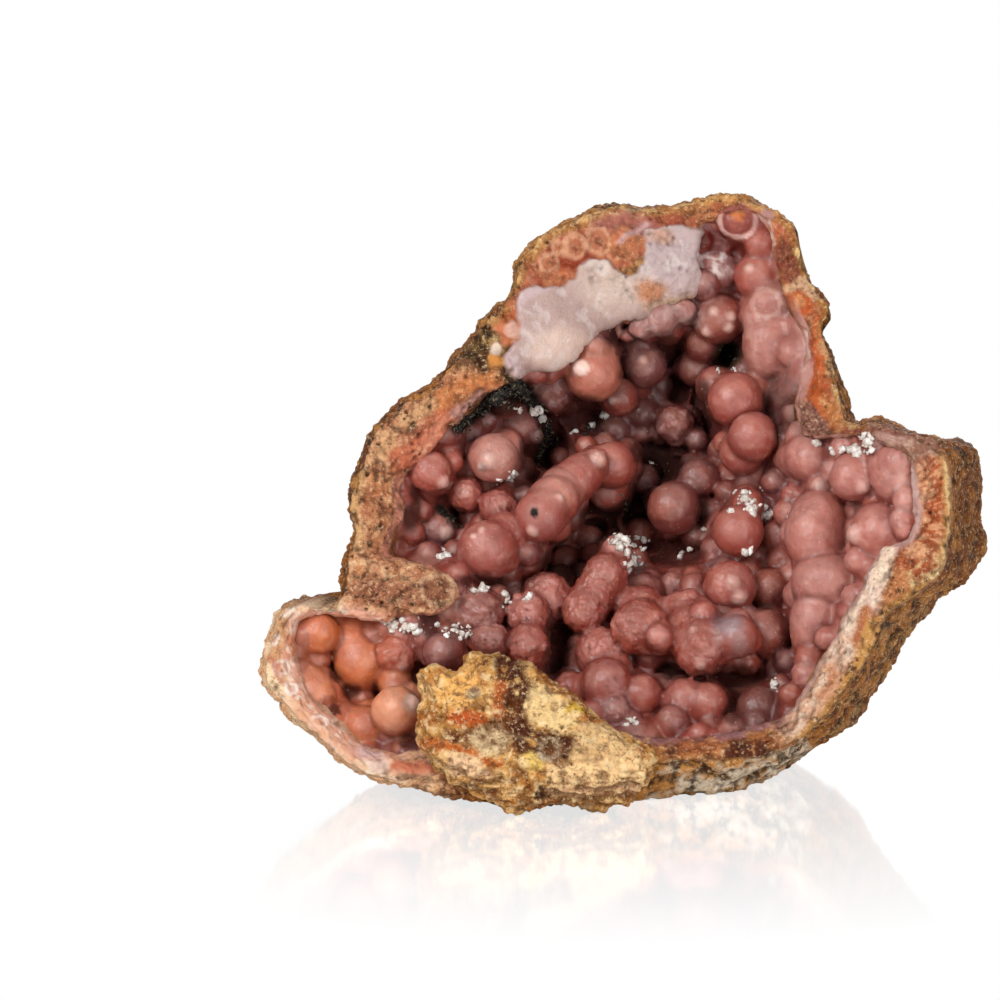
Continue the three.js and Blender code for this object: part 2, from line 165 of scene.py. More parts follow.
# The main lumps and finger ends of the crust: x, y, radius on the sheet, depth and tone.
LUMPS = [
    # under the white patch and along the top of the upper lobe
    (594, 373, 29, 36, SALMON), (553, 390, 24, 40, MAUVE), (618, 397, 20, 41, DUSKY),
    (644, 365, 23, 44, MAUVE), (661, 322, 14, 41, MAUVE), (645, 330, 11, 41, MAUVE),
    (684, 312, 13, 40, MAUVE), (716, 270, 21, 41, MAUVE), (757, 276, 23, 39, SALMON),
    (718, 319, 26, 41, DUSKY), (704, 343, 19, 43, DUSKY), (696, 369, 18, 46, DUSKY),
    (768, 305, 19, 37, PALE), (768, 335, 22, 37, PALE), (768, 358, 20, 37, PALE),
    (735, 400, 28, 33, SALMON), (753, 436, 25, 30, SALMON), (741, 452, 22, 33, SALMON),
    (795, 415, 15, 34, MAUVE),
    # the deep middle of the hollow
    (675, 425, 20, 44, MAUVE), (698, 440, 10, 43, MAUVE), (698, 478, 20, 37, MAUVE),
    (674, 508, 27, 33, DUSKY), (616, 430, 16, 47, MAUVE), (645, 480, 15, 46, MAUVE),
    (590, 540, 15, 44, DUSKY), (565, 562, 15, 40, ANY), (640, 532, 14, 46, ANY),
    (560, 458, 10, 45, ANY), (738, 531, 26, 26, ANY), (748, 506, 16, 30, ANY),
    # the right wall
    (810, 457, 24, 25, PALE), (785, 458, 10, 31, PALE), (818, 486, 10, 23, PALE),
    (853, 477, 24, 17, PALE), (818, 516, 25, 22, PALE), (815, 542, 28, 21, PALE),
    (818, 583, 27, 19, PALE), (840, 583, 23, 18, PALE), (878, 531, 28, 13, PALE),
    (897, 482, 23, 13, PALE), (888, 448, 18, 15, PALE), (815, 615, 24, 18, PALE),
    (815, 650, 18, 18, PALE), (787, 662, 13, 21, MAUVE), (770, 588, 20, 28, DUSKY),
    # the long finger that reaches across the middle
    (612, 465, 24, 33, ANY), (608, 492, 20, 38, ANY), (592, 466, 15, 29, SALMON),
    (563, 490, 24, 26, ANY), (541, 516, 26, 20, ANY), (555, 500, 22, 23, ANY),
    # the left wall
    (519, 428, 21, 37, MAUVE), (484, 420, 12, 34, MAUVE), (494, 458, 25, 25, PALE),
    (434, 475, 22, 28, SALMON), (403, 547, 17, 26, RED), (438, 530, 21, 28, MAUVE),
    (465, 495, 17, 27, ANY), (498, 507, 18, 25, ANY), (487, 550, 30, 19, ANY),
    (507, 535, 24, 22, ANY), (527, 553, 12, 21, MAUVE),
    # the floor, from the left to the right
    (478, 612, 26, 17, DUSKY), (488, 640, 20, 15, DUSKY), (528, 615, 23, 19, ANY),
    (528, 645, 22, 16, ANY), (546, 598, 27, 25, ANY), (606, 575, 22, 23, ROSE),
    (584, 612, 22, 21, ROSE), (617, 549, 14, 25, PALE), (642, 595, 23, 28, DUSKY),
    (640, 627, 28, 18, ANY), (661, 638, 12, 14, ANY), (600, 652, 25, 20, ANY),
    (607, 684, 26, 15, ROSE), (642, 694, 20, 15, ANY), (570, 687, 16, 20, ANY),
    (615, 711, 19, 14, MAUVE), (686, 614, 25, 22, ANY), (704, 613, 12, 16, ANY),
    (702, 647, 30, 16, ANY), (737, 637, 22, 14, ANY), (730, 587, 27, 24, ANY),
    (694, 586, 14, 27, ANY), (766, 634, 25, 23, DUSKY), (708, 703, 21, 14, ANY),
    (685, 700, 22, 15, ANY), (672, 722, 18, 13, DUSKY), (758, 708, 22, 15, DUSKY),
    # the left pocket
    (318, 633, 21, 15, ORANGE), (313, 693, 23, 14, PEACH), (362, 665, 26, 17, ORANGE),
    (397, 655, 20, 15, SALMON), (385, 628, 11, 16, ANY), (396, 711, 25, 10, PEACH),
    (395, 682, 18, 15, ORANGE), (362, 727, 21, 13, ORANGE), (345, 622, 14, 19, ORANGE),
    (443, 652, 20, 12, MAUVE),
]

# ---------------------------------------------------------------- sheet and curves

def placed(points):
    """Sheet points (x, y, depth) as millimetres in the frame of the part."""
    x, y, depth = np.moveaxis(np.asarray(points, dtype=float), -1, 0)
    spread = 1 + depth / EYE
    across = (x - SHEET_MIDDLE) * spread * UNIT
    up = (FLOOR_LINE - SHEET_MIDDLE + (SHEET_MIDDLE - y) * spread) * UNIT
    forth = up * math.sin(LEAN) + depth * math.cos(LEAN)
    height = up * math.cos(LEAN) - depth * math.sin(LEAN)
    return np.stack([across - BOX_MIDDLE[0], forth - BOX_MIDDLE[1], height], axis=-1)


def on_sheet(points):
    """The inverse of placed."""
    across, forth, height = np.moveaxis(points + np.array([*BOX_MIDDLE, 0]), -1, 0)
    up = forth * math.sin(LEAN) + height * math.cos(LEAN)
    depth = forth * math.cos(LEAN) - height * math.sin(LEAN)
    spread = 1 + depth / EYE
    x = SHEET_MIDDLE + across / spread / UNIT
    y = SHEET_MIDDLE - (up / UNIT - FLOOR_LINE + SHEET_MIDDLE) / spread
    return np.stack([x, y, depth], axis=-1)


def smoothstep(value, low, high):
    share = np.clip((value - low) / (high - low), 0, 1)
    return share * share * (3 - 2 * share)


def mix(a, b, share):
    return a + (b - a) * share


def curve(points, spots):
    """Points on the smooth closed curve through these, at these places along it, 1 a station."""
    count = len(points)
    before = np.floor(spots).astype(int)
    share = (spots - before)[:, None]
    steps = np.linalg.norm(np.roll(points, -1, axis=0) - points, axis=1)[:, None] + 1e-6
    slopes = (np.roll(points, -1, axis=0) - points) / steps
    back_steps = np.roll(steps, 1, axis=0)
    tangents = (slopes * back_steps + np.roll(slopes, 1, axis=0) * steps) / (steps + back_steps)
    i, j = before % count, (before + 1) % count
    length = steps[i]
    s2, s3 = share ** 2, share ** 3
    return ((2 * s3 - 3 * s2 + 1) * points[i] + (s3 - 2 * s2 + share) * length * tangents[i]
            + (3 * s2 - 2 * s3) * points[j] + (s3 - s2) * length * tangents[j])


def even_spots(rings, count):
    """Places along curves that share stations, evenly spaced on whichever is longer."""
    steps = np.max([np.linalg.norm(np.roll(r, -1, axis=0) - r, axis=1) for r in rings], axis=0)
    travelled = np.concatenate([[0], np.cumsum(steps)])
    wanted = np.arange(count) * travelled[-1] / count
    return np.interp(wanted, travelled, np.arange(len(travelled)))


def ovalled(ring, middle, halves):
    """The oval that a curve of the rim tends to, with bearings averaged over neighbours."""
    bearings = np.unwrap(np.arctan2(ring[:, 1] - middle[1], ring[:, 0] - middle[0]))
    turns = np.concatenate([bearings - 2 * np.pi, bearings, bearings + 2 * np.pi])
    window = 2 * BEARING_SPAN + 1
    mean = np.convolve(turns, np.ones(window) / window, "same")[len(ring):2 * len(ring)]
    return np.stack([middle[0] + halves[0] * np.cos(mean),
                     middle[1] + halves[1] * np.sin(mean), ring[:, 2]], axis=-1)


def bowl(rim, oval, centre, turn):
    """The bowl between a rim and its centre: turn 0 is the rim, 1 the centre."""
    rim = mix(rim, oval, smoothstep(turn, 0.12, 0.7))
    away = np.hypot(rim[:, 0] - POCKET["x"], rim[:, 1] - POCKET["y"]) / POCKET["reach"]
    full = 1 - POCKET["flat"] * np.exp(-away ** 2)
    angle = turn * math.pi / 2
    keep = full * max(math.cos(angle), 0) ** 0.65 + (1 - full) * (1 - turn)
    sink = full * math.sin(angle) + (1 - full) * turn
    xy = np.array(centre[:2]) + (rim[:, :2] - centre[:2]) * keep[:, None]
    return np.column_stack([xy, rim[:, 2] + (centre[2] - rim[:, 2]) * sink])


# ---------------------------------------------------------------- noise

FADE = 1.0  # how fast each finer octave of the noise weakens
FINER = 2.1  # how much finer each octave is


def waves(points, size, octaves=3, shift=0.0):
    """Fractal noise of about -1 to 1 with lumps of this size, in millimetres."""
    scaled = np.asarray(points) / size + shift
    return np.array([noise.fractal(Vector(p), FADE, FINER, octaves) for p in scaled.tolist()])


def cells(points, size, shift=0.0):
    """Distances to the nearest and second nearest of scattered points this far apart."""
    scaled = np.asarray(points) / size + shift
    return np.array([noise.voronoi(Vector(p))[0][:2] for p in scaled.tolist()])


def heaps(points, height, size, foot, shift=0.0, middle=0.42):
    """Rounded heaps this high, this far apart, that end at foot, a share of that distance."""
    return height * (middle - np.minimum(cells(points, size, shift)[:, 0], foot))


def holes(points, size, shift, rim, bottom):
    """Pits this far apart: 0 outside the rim and 1 within the bottom, both shares of size."""
    return 1 - smoothstep(cells(points, size, shift)[:, 0], bottom, rim)


# ---------------------------------------------------------------- meshes

def ring_faces(ring_count, around, closed=False):
    """Quads between rings of points, each ring after the last, and back to the first if closed."""
    row = np.arange(ring_count if closed else ring_count - 1)[:, None]
    column = np.arange(around)[None, :]
    here = row * around + column
    beside = row * around + (column + 1) % around
    above = (row + 1) % ring_count * around + (column + 1) % around
    over = (row + 1) % ring_count * around + column
    return np.stack([here, beside, above, over], axis=-1).reshape(-1, 4)


def corner_normals(points, faces):
    """A unit normal at each point, from the quads around it."""
    a, b, c, d = (points[faces[:, k]] for k in range(4))
    flat = np.cross(c - a, d - b)
    total = np.zeros_like(points)
    for k in range(4):
        np.add.at(total, faces[:, k], flat)
    return total / (np.linalg.norm(total, axis=1)[:, None] + 1e-12)


def make_piece(name, points, faces, fields, material, node):
    """A closed, smooth mesh piece, which may stand for a CAD node. points are in millimetres."""
    mesh = bpy.data.meshes.new(name)
    mesh.from_pydata((points * MM).tolist(), [], [list(face) for face in faces])
    mesh.validate()
    mesh.shade_smooth()
    for field, values in fields.items():
        if values.ndim == 2:
            made = mesh.color_attributes.new(field, "FLOAT_COLOR", "POINT")
            made.data.foreach_set("color", np.column_stack([values, np.ones(len(values))]).ravel())
        else:
            made = mesh.attributes.new(field, "FLOAT", "POINT")
            made.data.foreach_set("value", values.astype(np.float32))
    piece = bpy.data.objects.new(name, mesh)
    bpy.context.scene.collection.objects.link(piece)
    mesh.materials.append(material)
    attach(piece, "root")
    if node:
        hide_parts(node)
    return piece

# ---------------------------------------------------------------- paint

def linear(hex_colour):
    """A screen colour such as 'b8695c' as linear red, green and blue."""
    channels = np.array([int(hex_colour[k:k + 2], 16) / 255 for k in (0, 2, 4)])
    return np.where(channels <= 0.04045, channels / 12.92, ((channels + 0.055) / 1.055) ** 2.4)


RAGGED_SIZE = 2.2  # mm, of the unevenness that shapes of paint have along their edges


class Paint:
    """Colour laid in layers over mesh points that are known by their place on the sheet.

    A layer is a row: its tone, its wax where that changes, its strength, and the masks that it
    is laid through. A mask is the name of a field, or a name with numbers: a shape, or a field
    with the levels where it starts and is full. A minus turns the field over.
    """

    def __init__(self, points, ground, ragged=4.0):
        self.points = points
        sheet = on_sheet(points)
        self.depth = sheet[:, 2]
        self.x = sheet[:, 0] + ragged * waves(points, RAGGED_SIZE)
        self.y = sheet[:, 1] + ragged * waves(points, RAGGED_SIZE, shift=40.0)
        self.colour = np.tile(linear(ground), (len(points), 1))
        self.wax = np.zeros(len(points))
        self.fields = {
            "x": self.x, "y": self.y, "depth": self.depth,
            "blob": self.blob, "ring": self.ring, "stroke": self.stroke, "patch": self.patch,
            "before": lambda limit: self.depth < limit,
            "under": lambda limit: self.y > limit,
            "nearer": lambda near, far: 1 - smoothstep(self.depth, near, far),
            "disc": lambda x, y, radius: np.hypot(self.x - x, self.y - y) < radius,
        }

    def lay(self, mask, hex_colour, wax=None):
        self.colour = mix(self.colour, linear(hex_colour), mask[:, None])
        if wax is not None:
            self.wax = mix(self.wax, wax, mask)

    def mask(self, *terms):
        """The product of some masks."""
        product = 1.0
        for term in terms:
            name, *numbers = (term,) if isinstance(term, str) else term
            field = self.fields[name.lstrip("-")]
            if callable(field):
                field = field(*numbers)
            elif numbers:
                field = smoothstep(-field if name.startswith("-") else field, *numbers)
            product = product * field
        return product

    def name_areas(self, areas):
        """Keep products of masks as fields of their own."""
        for name, terms in areas.items():
            self.fields[name] = self.mask(*terms)

    def layers(self, rows, over=1.0):
        """Lay the rows of a table in turn, all of them through one more mask."""
        for tone, *rest in rows:
            numbers = [value for value in rest if isinstance(value, (int, float))]
            wax = numbers[0] if len(numbers) > 1 else None
            self.lay(self.mask(*rest[len(numbers):]) * numbers[-1] * over, tone, wax)

    def blob(self, x, y, across, up=None, soft=0.3):
        away = np.hypot((self.x - x) / across, (self.y - y) / (up or across))
        return 1 - smoothstep(away, 1 - soft, 1 + soft)

    def ring(self, x, y, radius, width):
        away = np.abs(np.hypot(self.x - x, self.y - y) - radius)
        return 1 - smoothstep(away, width * 0.3, width * 0.8)

    def away_from(self, route, closed=False):
        """The distance on the sheet to a route of points."""
        ends = route[1:] + (route[:1] if closed else [])
        nearest = np.full(len(self.x), 1e9)
        for (ax, ay), (bx, by) in zip(route, ends):
            dx, dy = bx - ax, by - ay
            share = ((self.x - ax) * dx + (self.y - ay) * dy) / (dx * dx + dy * dy + 1e-9)
            share = np.clip(share, 0, 1)
            away = np.hypot(self.x - ax - share * dx, self.y - ay - share * dy)
            nearest = np.minimum(nearest, away)
        return nearest

    def stroke(self, route, width, soft):
        return 1 - smoothstep(self.away_from(route), width / 2 - soft, width / 2 + soft)

    def patch(self, outline, soft=3.0):
        side = np.where(inside(self.x, self.y, outline), -1, 1)
        return 1 - smoothstep(self.away_from(outline, closed=True) * side, -soft, soft)


def inside(x, y, outline):
    """True where a point of the sheet lies inside a closed outline."""
    found = np.zeros(len(x), dtype=bool)
    for (ax, ay), (bx, by) in zip(outline, list(outline[1:]) + list(outline[:1])):
        if ay == by:
            continue
        crosses = (y < ay) != (y < by)
        found ^= crosses & (x < ax + (y - ay) * (bx - ax) / (by - ay))
    return found


# ---------------------------------------------------------------- the rind

OUTLINE = RIM[:, 0:3]
EDGE = RIM[:, 3:6]
LIP = RIM[:, 6:9]


def rind_relief(points):
    """How far the weathered rind stands out: knobs, grains and pits."""
    knobs = 0.9 * waves(points, 8.0) + 0.6 * waves(points, 18.0, 2, shift=51.0)
    grains = heaps(points, 0.9, 1.9, 0.8) + heaps(points, 0.5, 0.9, 0.8, shift=4.0)
    return knobs, grains - 0.8 * holes(points, 5.5, 3.0, 0.28, 0.05)


def face_relief(points, smooth):
    """The relief of the broken face: broad steps, and the fine grain, domes and holes on them."""
    steps = 0.45 * waves(points, 3.4, shift=11.0)
    domes = heaps(points, 0.7, 2.3, 0.75, shift=8.0, middle=0.4)
    grain = heaps(points, 0.45, 0.95, 0.8, shift=14.0, middle=0.4)
    fine = domes + grain - 0.6 * holes(points, 1.9, 5.0, 0.24, 0.06)
    return (steps * (1 - 0.6 * smooth) + 0.15 * waves(points, 2.5, 2, shift=23.0) * smooth,
            fine * (1 - 0.93 * smooth))


def weathered(paint, fine, mask, dark, pale):
    """Lay stains in the hollows of the fine relief and pale tones on its peaks."""
    paint.lay(mask * smoothstep(-fine, 0.12, 0.42) * 0.88, dark)
    paint.lay(mask * smoothstep(fine, 0.12, 0.34) * 0.52, pale)


def rolled(v, roll):
    """How far the broken face falls back towards the lip, v from the lip 0 to the edge 1."""
    near = np.clip(1 - v / 0.28, 0, 1)
    return roll * (1 - np.sqrt(1 - near ** 2))


def broken_rim():
    """Rings of points from inside the hollow, over the lip and the broken face, to the rind."""
    around = 1200
    spots = even_spots([OUTLINE, LIP], around)
    outline, edge, lip = (curve(ring, spots) for ring in (OUTLINE, EDGE, LIP))
    hollow_oval = curve(ovalled(LIP, HOLLOW_CENTRE, HOLLOW_OVAL), spots)
    back_oval = curve(ovalled(OUTLINE, BACK_CENTRE, BACK_OVAL), spots)
    white = 1 - smoothstep(np.abs(spots - 5.0), 4.5, 6.5)
    rings, bands = [], []
    roll = (0.7 + 2.0 * white)

    def add(ring, band):
        rings.append(placed(ring))
        bands.append(np.full(around, band))

    for turn in (0.3, 0.2, 0.12, 0.06, 0.03):
        ring = bowl(lip, hollow_oval, HOLLOW_CENTRE, turn)
        ring[:, 2] += roll
        add(ring, -turn)
    for v in np.linspace(0, 1, 58, endpoint=False):
        ring = mix(lip, edge, v)
        ring[:, 2] += rolled(v, roll) - 0.8 * 4 * v * (1 - v)
        add(ring, v)
    for w in np.linspace(0, 1, 28, endpoint=False):
        add(mix(edge, outline, w), 1 + w)
    for turn in np.linspace(0, 0.13, 18):
        add(bowl(outline, back_oval, BACK_CENTRE, turn), 2 + turn)
    add(bowl(drawn_in(outline), drawn_in(back_oval), BACK_CENTRE, 0.05), 2.2)
    width = np.linalg.norm((edge - lip)[:, :2], axis=1)
    return (np.concatenate(rings), np.concatenate(bands), np.tile(spots, len(rings)),
            np.tile(width, len(rings)), around, len(rings))


def drawn_in(ring):
    """The ring pulled in from the rock's outside, for walls that stay hidden within it."""
    return np.column_stack([mix(ring[:, :2], BACK_CENTRE[:2], 0.08), ring[:, 2]])


def rind_back():
    around = 460
    spots = even_spots([OUTLINE], around)
    outline = curve(OUTLINE, spots)
    oval = curve(ovalled(OUTLINE, BACK_CENTRE, BACK_OVAL), spots)
    fine = np.linspace(0.10, 0.99999, 3000)
    run = BACK_OVAL[0] * UNIT * np.cos(fine * math.pi / 2) ** 0.65
    sink = (BACK_DEPTH - OUTLINE[:, 2].mean()) * np.sin(fine * math.pi / 2)
    travelled = np.concatenate([[0], np.cumsum(np.hypot(np.diff(run), np.diff(sink)))])
    turns = np.interp(np.linspace(0, travelled[-1], 118), travelled, fine)
    outer = [placed(bowl(outline, oval, BACK_CENTRE, turn)) for turn in turns]
    within = (*BACK_CENTRE[:2], BACK_DEPTH - RIND_WALL)
    lining = [placed(bowl(drawn_in(outline), drawn_in(oval), within, turn))
              for turn in (0.99, 0.8, 0.6, 0.4, 0.2, 0.12)]
    points = np.concatenate(outer + lining)
    faces = ring_faces(len(turns) + len(lining), around, closed=True)
    calm = np.concatenate([1 - smoothstep(turns, 0.985, 0.9995), np.zeros(len(lining))])
    sunk = np.concatenate([0.5 * (1 - smoothstep(turns, 0.112, 0.128)), np.zeros(len(lining))])
    return points, faces, calm.repeat(around), sunk.repeat(around)


def knob_shape():
    around = 330
    spots = even_spots([np.column_stack([KNOB_OUTLINE, np.zeros(len(KNOB_OUTLINE))])], around)
    outline = curve(np.column_stack([KNOB_OUTLINE, np.zeros(len(KNOB_OUTLINE))]), spots)[:, :2]

    def ring(keep, depth, middle):
        xy = np.array(middle) + (outline - middle) * keep
        return placed(np.column_stack([xy, np.full(around, depth)]))

    rings = []
    for angle in np.linspace(0.02, math.pi / 2, 62):
        keep = math.sin(angle) ** 0.8
        depth = KNOB_SIDE + (KNOB_FRONT - KNOB_SIDE) * math.cos(angle) ** 0.55
        rings.append(ring(keep, depth, KNOB_MIDDLE))
    for share in np.linspace(0.04, 1, 34):
        rings.append(ring(1 - 0.18 * share, KNOB_SIDE + (KNOB_BACK - KNOB_SIDE) * share,
                          mix(np.array(KNOB_MIDDLE), np.array(KNOB_ROOT), share)))
    for keep in (0.6, 0.3, 0.02):
        rings.append(ring(keep, KNOB_BACK, KNOB_ROOT))
    points = np.concatenate(rings)
    faces = ring_faces(len(rings), around)
    caps = [np.arange(around)[::-1], np.arange(around) + (len(rings) - 1) * around]
    return points, faces, caps


def outward(points, faces):
    """The faces turned so that the closed body has a positive volume."""
    a, b, c, d = (points[faces[:, k]] for k in range(4))
    volume = np.einsum("ij,ij->", a, np.cross(b, c) + np.cross(c, d))
    return faces if volume > 0 else faces[:, ::-1]


# ---------------------------------------------------------------- the crust

CRUST_STEP = 0.41  # mm between samples of the crust
BLEND = 0.7  # mm over which two lumps melt into each other
NIPPLE_BLEND = 0.5
BUMP_BLEND = 0.8
BUMP_SINK = 0.78
NIPPLE_SINK = 0.45  # of its radius, how far a nipple's middle lies under the lump's surface
CHAIN_BLEND = 1.7  # between the balls of one finger
BED_BLUR = 14
BED_BEHIND = 0.35
BED_STEP = 1.2
LIP_PULL = 0.4
BED_THICK = 3.0
SINK = 3.5  # mm by which the bed lies deeper than in the part's source, where lumps hide it
GAP_SINK = 3.0  # mm more in the dark gaps between the lumps
WALL_OVERLAP = 1.2  # mm by which the crust reaches into the rind around the lip
FILLER_SPACING = 24  # on the sheet, between the small lumps that fill the bed
CREASE_WIDTH = 0.8  # mm of painted shade where two lumps meet
EXTRA_BUMPY = 0.6  # of the lumps of the scene alone
LONGEST_CHAIN = 16  # mm of balls behind a lump
BARE_CROWDING = 1.2  # radii by which the balls beside a bare lump lie deeper
RIGHT_WALL_X = 785  # the small lumps are paler right of this and above RIGHT_WALL_END
RIGHT_WALL_END = 690
CRUST_PARTS = {
    "crust_of_pocket": (345, 680),
    "crust_of_roof": (690, 320),
    "crust_of_left_wall": (470, 500),
    "crust_of_floor": (620, 660),
    "crust_of_right_wall": (840, 540),
    "crust_of_depths": (665, 485),
}


# Pairs of lumps that have grown into one.
BRIDGES = [
    ((818, 583), (840, 583)), ((818, 516), (815, 542)), ((768, 335), (768, 358)),
    ((815, 615), (815, 650)), ((888, 448), (897, 482)), ((810, 457), (785, 458)),
    ((362, 665), (345, 622)), ((541, 516), (563, 490), 0.5),
    ((563, 490), (592, 466), 0.25, 0.5, 0.75), ((584, 612), (606, 575), 0.5),
    ((640, 627), (642, 595), 0.5), ((702, 647), (686, 614), 0.5),
]
# Lumps that stand alone, without smaller ones crowding their sides.
BARE_LUMPS = [
    (757, 276), (716, 270), (718, 319), (735, 400), (753, 436), (674, 508), (738, 531), (853, 477),
    (494, 458), (487, 550), (594, 373), (644, 365), (730, 587), (818, 516), (878, 531), (698, 478),
    (541, 516), (555, 500), (563, 490), (592, 466), (612, 465), (758, 708), (519, 428), (484, 420),
]
# Lumps of the scene alone: x, y, radius, depth and tone.
EXTRA_LUMPS = [
    (661, 318, 17, 37, PALE), (640, 327, 12, 37, PALE), (684, 311, 13, 38, PALE),
    (628, 336, 8, 38, MAUVE), (430, 472, 22, 23.5, SALMON), (452, 462, 12, 26, SALMON),
    (781, 330, 20, 37, PALE), (788, 352, 18, 36, PALE), (790, 368, 14, 36, ROSE),
    (900, 462, 20, 12, PALE), (906, 500, 14, 10, PALE), (878, 440, 16, 14, MAUVE),
    (855, 548, 10, 16, PALE), (738, 218, 23, 39, SALMON), (762, 315, 22, 38, PALE),
    (505, 560, 14, 20, SALMON), (486, 420, 12, 33, MAUVE), (474, 432, 10, 31, MAUVE),
    (658, 636, 12, 13.2, PALE), (904, 530, 10, 9, PALE), (862, 560, 9, 13, PALE),
    (598, 459, 11, 27.8, PALE),
]
# Lumps covered with small bumps.
BUMPY_LUMPS = [
    (584, 612), (606, 575), (528, 645), (528, 615), (478, 612), (640, 627), (600, 652), (465, 495),
    (498, 507), (553, 390), (675, 425), (661, 322), (645, 330), (684, 312), (702, 647), (615, 711),
    (570, 687), (686, 614), (397, 655), (507, 535), (488, 640), (546, 598),
]
# Small knobs and nipples on the main lumps: x, y and radius on the sheet. Their pale paint is
# partly their own tone, partly painted highlight.
NIPPLES = [
    (580, 368, 9), (558, 378, 5), (613, 400, 5), (643, 361, 6), (714, 312, 6), (730, 317, 6),
    (728, 327, 6), (707, 331, 6), (597, 460, 9), (558, 499, 6), (533, 530, 7), (536, 436, 8),
    (489, 460, 9), (442, 481, 8), (446, 533, 8), (466, 493, 8), (474, 537, 4), (482, 531, 4),
    (610, 640, 8), (717, 641, 7), (694, 630, 5), (700, 662, 8), (732, 583, 8), (739, 596, 9),
    (403, 637, 6), (402, 665, 6), (412, 703, 8), (862, 486, 8), (856, 534, 10), (820, 486, 9),
    (750, 269, 6), (482, 465, 5),
]
# Where the hollow goes dark between the lumps, sunk deeper and painted with shade: the middle, half
# width and half height.
DARK_GAPS = [
    (622, 336, 16, 14), (622, 362, 9, 18), (668, 350, 20, 16), (692, 312, 9, 14),
    (678, 388, 12, 16), (702, 412, 11, 34), (545, 440, 20, 34), (580, 412, 24, 20),
    (650, 452, 22, 14), (668, 468, 22, 12), (610, 520, 32, 26), (642, 498, 12, 28),
    (560, 566, 20, 24), (675, 552, 32, 14), (776, 410, 14, 30), (410, 505, 12, 26),
    (458, 516, 9, 15), (480, 581, 24, 8), (558, 640, 15, 42), (720, 677, 46, 13),
    (732, 705, 11, 20), (782, 640, 11, 20), (430, 622, 10, 16), (410, 742, 12, 8),
    (722, 356, 15, 14), (766, 592, 8, 26), (352, 689, 9, 10), (338, 668, 8, 13), (334, 712, 6, 9),
    (378, 690, 6, 9), (346, 742, 8, 6), (702, 508, 8, 22), (672, 672, 16, 9), (540, 470, 14, 16),
    (530, 452, 12, 24),
]

# Where the painted shade between the lumps is near black: the middle, half width and half height.
BLACK_GAPS = [(615, 522, 30, 22), (668, 462, 26, 22), (622, 336, 14, 12), (560, 566, 18, 16)]

# Grains of white druse: the middle, width and height of each patch on the sheet.
WHITE_GRAINS = [
    (394, 622, 15, 12), (411, 628, 12, 10), (455, 630, 20, 10), (482, 590, 15, 5),
    (507, 598, 10, 8), (528, 600, 8, 5), (442, 557, 7, 10), (633, 545, 15, 10), (632, 562, 14, 10),
    (618, 540, 16, 7), (745, 500, 17, 12), (758, 512, 10, 8), (766, 515, 7, 10), (703, 530, 5, 5),
    (691, 549, 4, 4), (680, 554, 4, 4), (850, 450, 26, 8), (867, 440, 7, 7), (872, 452, 6, 5),
    (505, 480, 10, 5), (516, 474, 6, 8), (517, 408, 5, 3), (536, 412, 5, 6), (541, 421, 4, 8),
    (776, 685, 5, 12), (632, 722, 8, 5), (718, 372, 5, 4), (735, 370, 4, 4), (605, 415, 4, 4),
    (590, 425, 8, 4), (650, 463, 6, 5), (572, 432, 5, 3), (747, 552, 6, 3),
]
# Tufts of black moss, as well as along the black band.
MOSS = [
    (444, 512, 6, 6), (452, 518, 6, 6), (460, 526, 5, 6), (588, 430, 8, 6), (626, 505, 5, 14),
    (728, 355, 10, 12), (512, 385, 14, 10), (500, 400, 15, 8), (524, 392, 14, 16),
]


def flattened(points):
    """Sheet points in millimetres, without the spread of distance: right, up and back."""
    x, y, depth = np.moveaxis(np.asarray(points, dtype=float), -1, 0)
    return np.stack([(x - SHEET_MIDDLE) * UNIT, (SHEET_MIDDLE - y) * UNIT, depth], axis=-1)


def unflattened(points):
    right, up, depth = np.moveaxis(points, -1, 0)
    return np.stack([SHEET_MIDDLE + right / UNIT, SHEET_MIDDLE - up / UNIT, depth], axis=-1)


def bed_depth(x, y):
    """How deep the crust lies here between its lumps, as in the part's source."""
    total = np.zeros(x.shape)
    weights = np.zeros(x.shape)
    pulls = [(row[0], row[1], row[3] + BED_BEHIND * row[2] * UNIT, 1) for row in LUMPS]
    pulls += [(row[0], row[1], row[2] + BED_STEP, LIP_PULL) for row in LIP]
    for at_x, at_y, depth, strength in pulls:
        weight = strength / ((x - at_x) ** 2 + (y - at_y) ** 2 + BED_BLUR ** 2) ** 2
        total += weight * depth
        weights += weight
    return total / weights


def gap_share(x, y):
    """How far a spot of the sheet lies in one of the dark gaps between the lumps, 0 to 1."""
    share = np.zeros(np.shape(x))
    for at_x, at_y, across, up in DARK_GAPS:
        away = np.hypot((x - at_x) / across, (y - at_y) / up)
        share = np.maximum(share, 1 - smoothstep(away, 0.75, 1.25))
    return share


def ground_depth(x, y):
    """The bed, sunk behind the lumps wherever it is clear of the lip, and deeper in the gaps."""
    sink = SINK + GAP_SINK * gap_share(x, y)
    return bed_depth(x, y) + sink * smoothstep(-lip_distance(x, y), 1.0, 9.0)


def ground_at(x, y):
    """ground_depth at one spot."""
    return float(ground_depth(np.array([x]), np.array([y]))[0])


def main_balls(chance):
    """The main lumps and those of the scene alone, and the bridges that join some of them."""
    balls = []
    for x, y, radius, depth, tone in LUMPS:
        drawn = chance.choice([SALMON, SALMON, ROSE])
        bumpy = 1.0 if (x, y) in BUMPY_LUMPS else chance.uniform(0.1, 0.4)
        balls.append((x, y, radius, depth, drawn if tone is ANY else tone, bumpy, BLEND))
    places = {row[:2]: row for row in balls}
    balls += [(*row, EXTRA_BUMPY, BLEND) for row in EXTRA_LUMPS]
    for first, last, *shares in BRIDGES:
        for share in shares or (0.25, 0.5, 0.75):
            row = mix(np.array(places[first]), np.array(places[last]), share)
            balls.append((*row[:4], places[first][4], places[first][5], CHAIN_BLEND))
    return balls, places


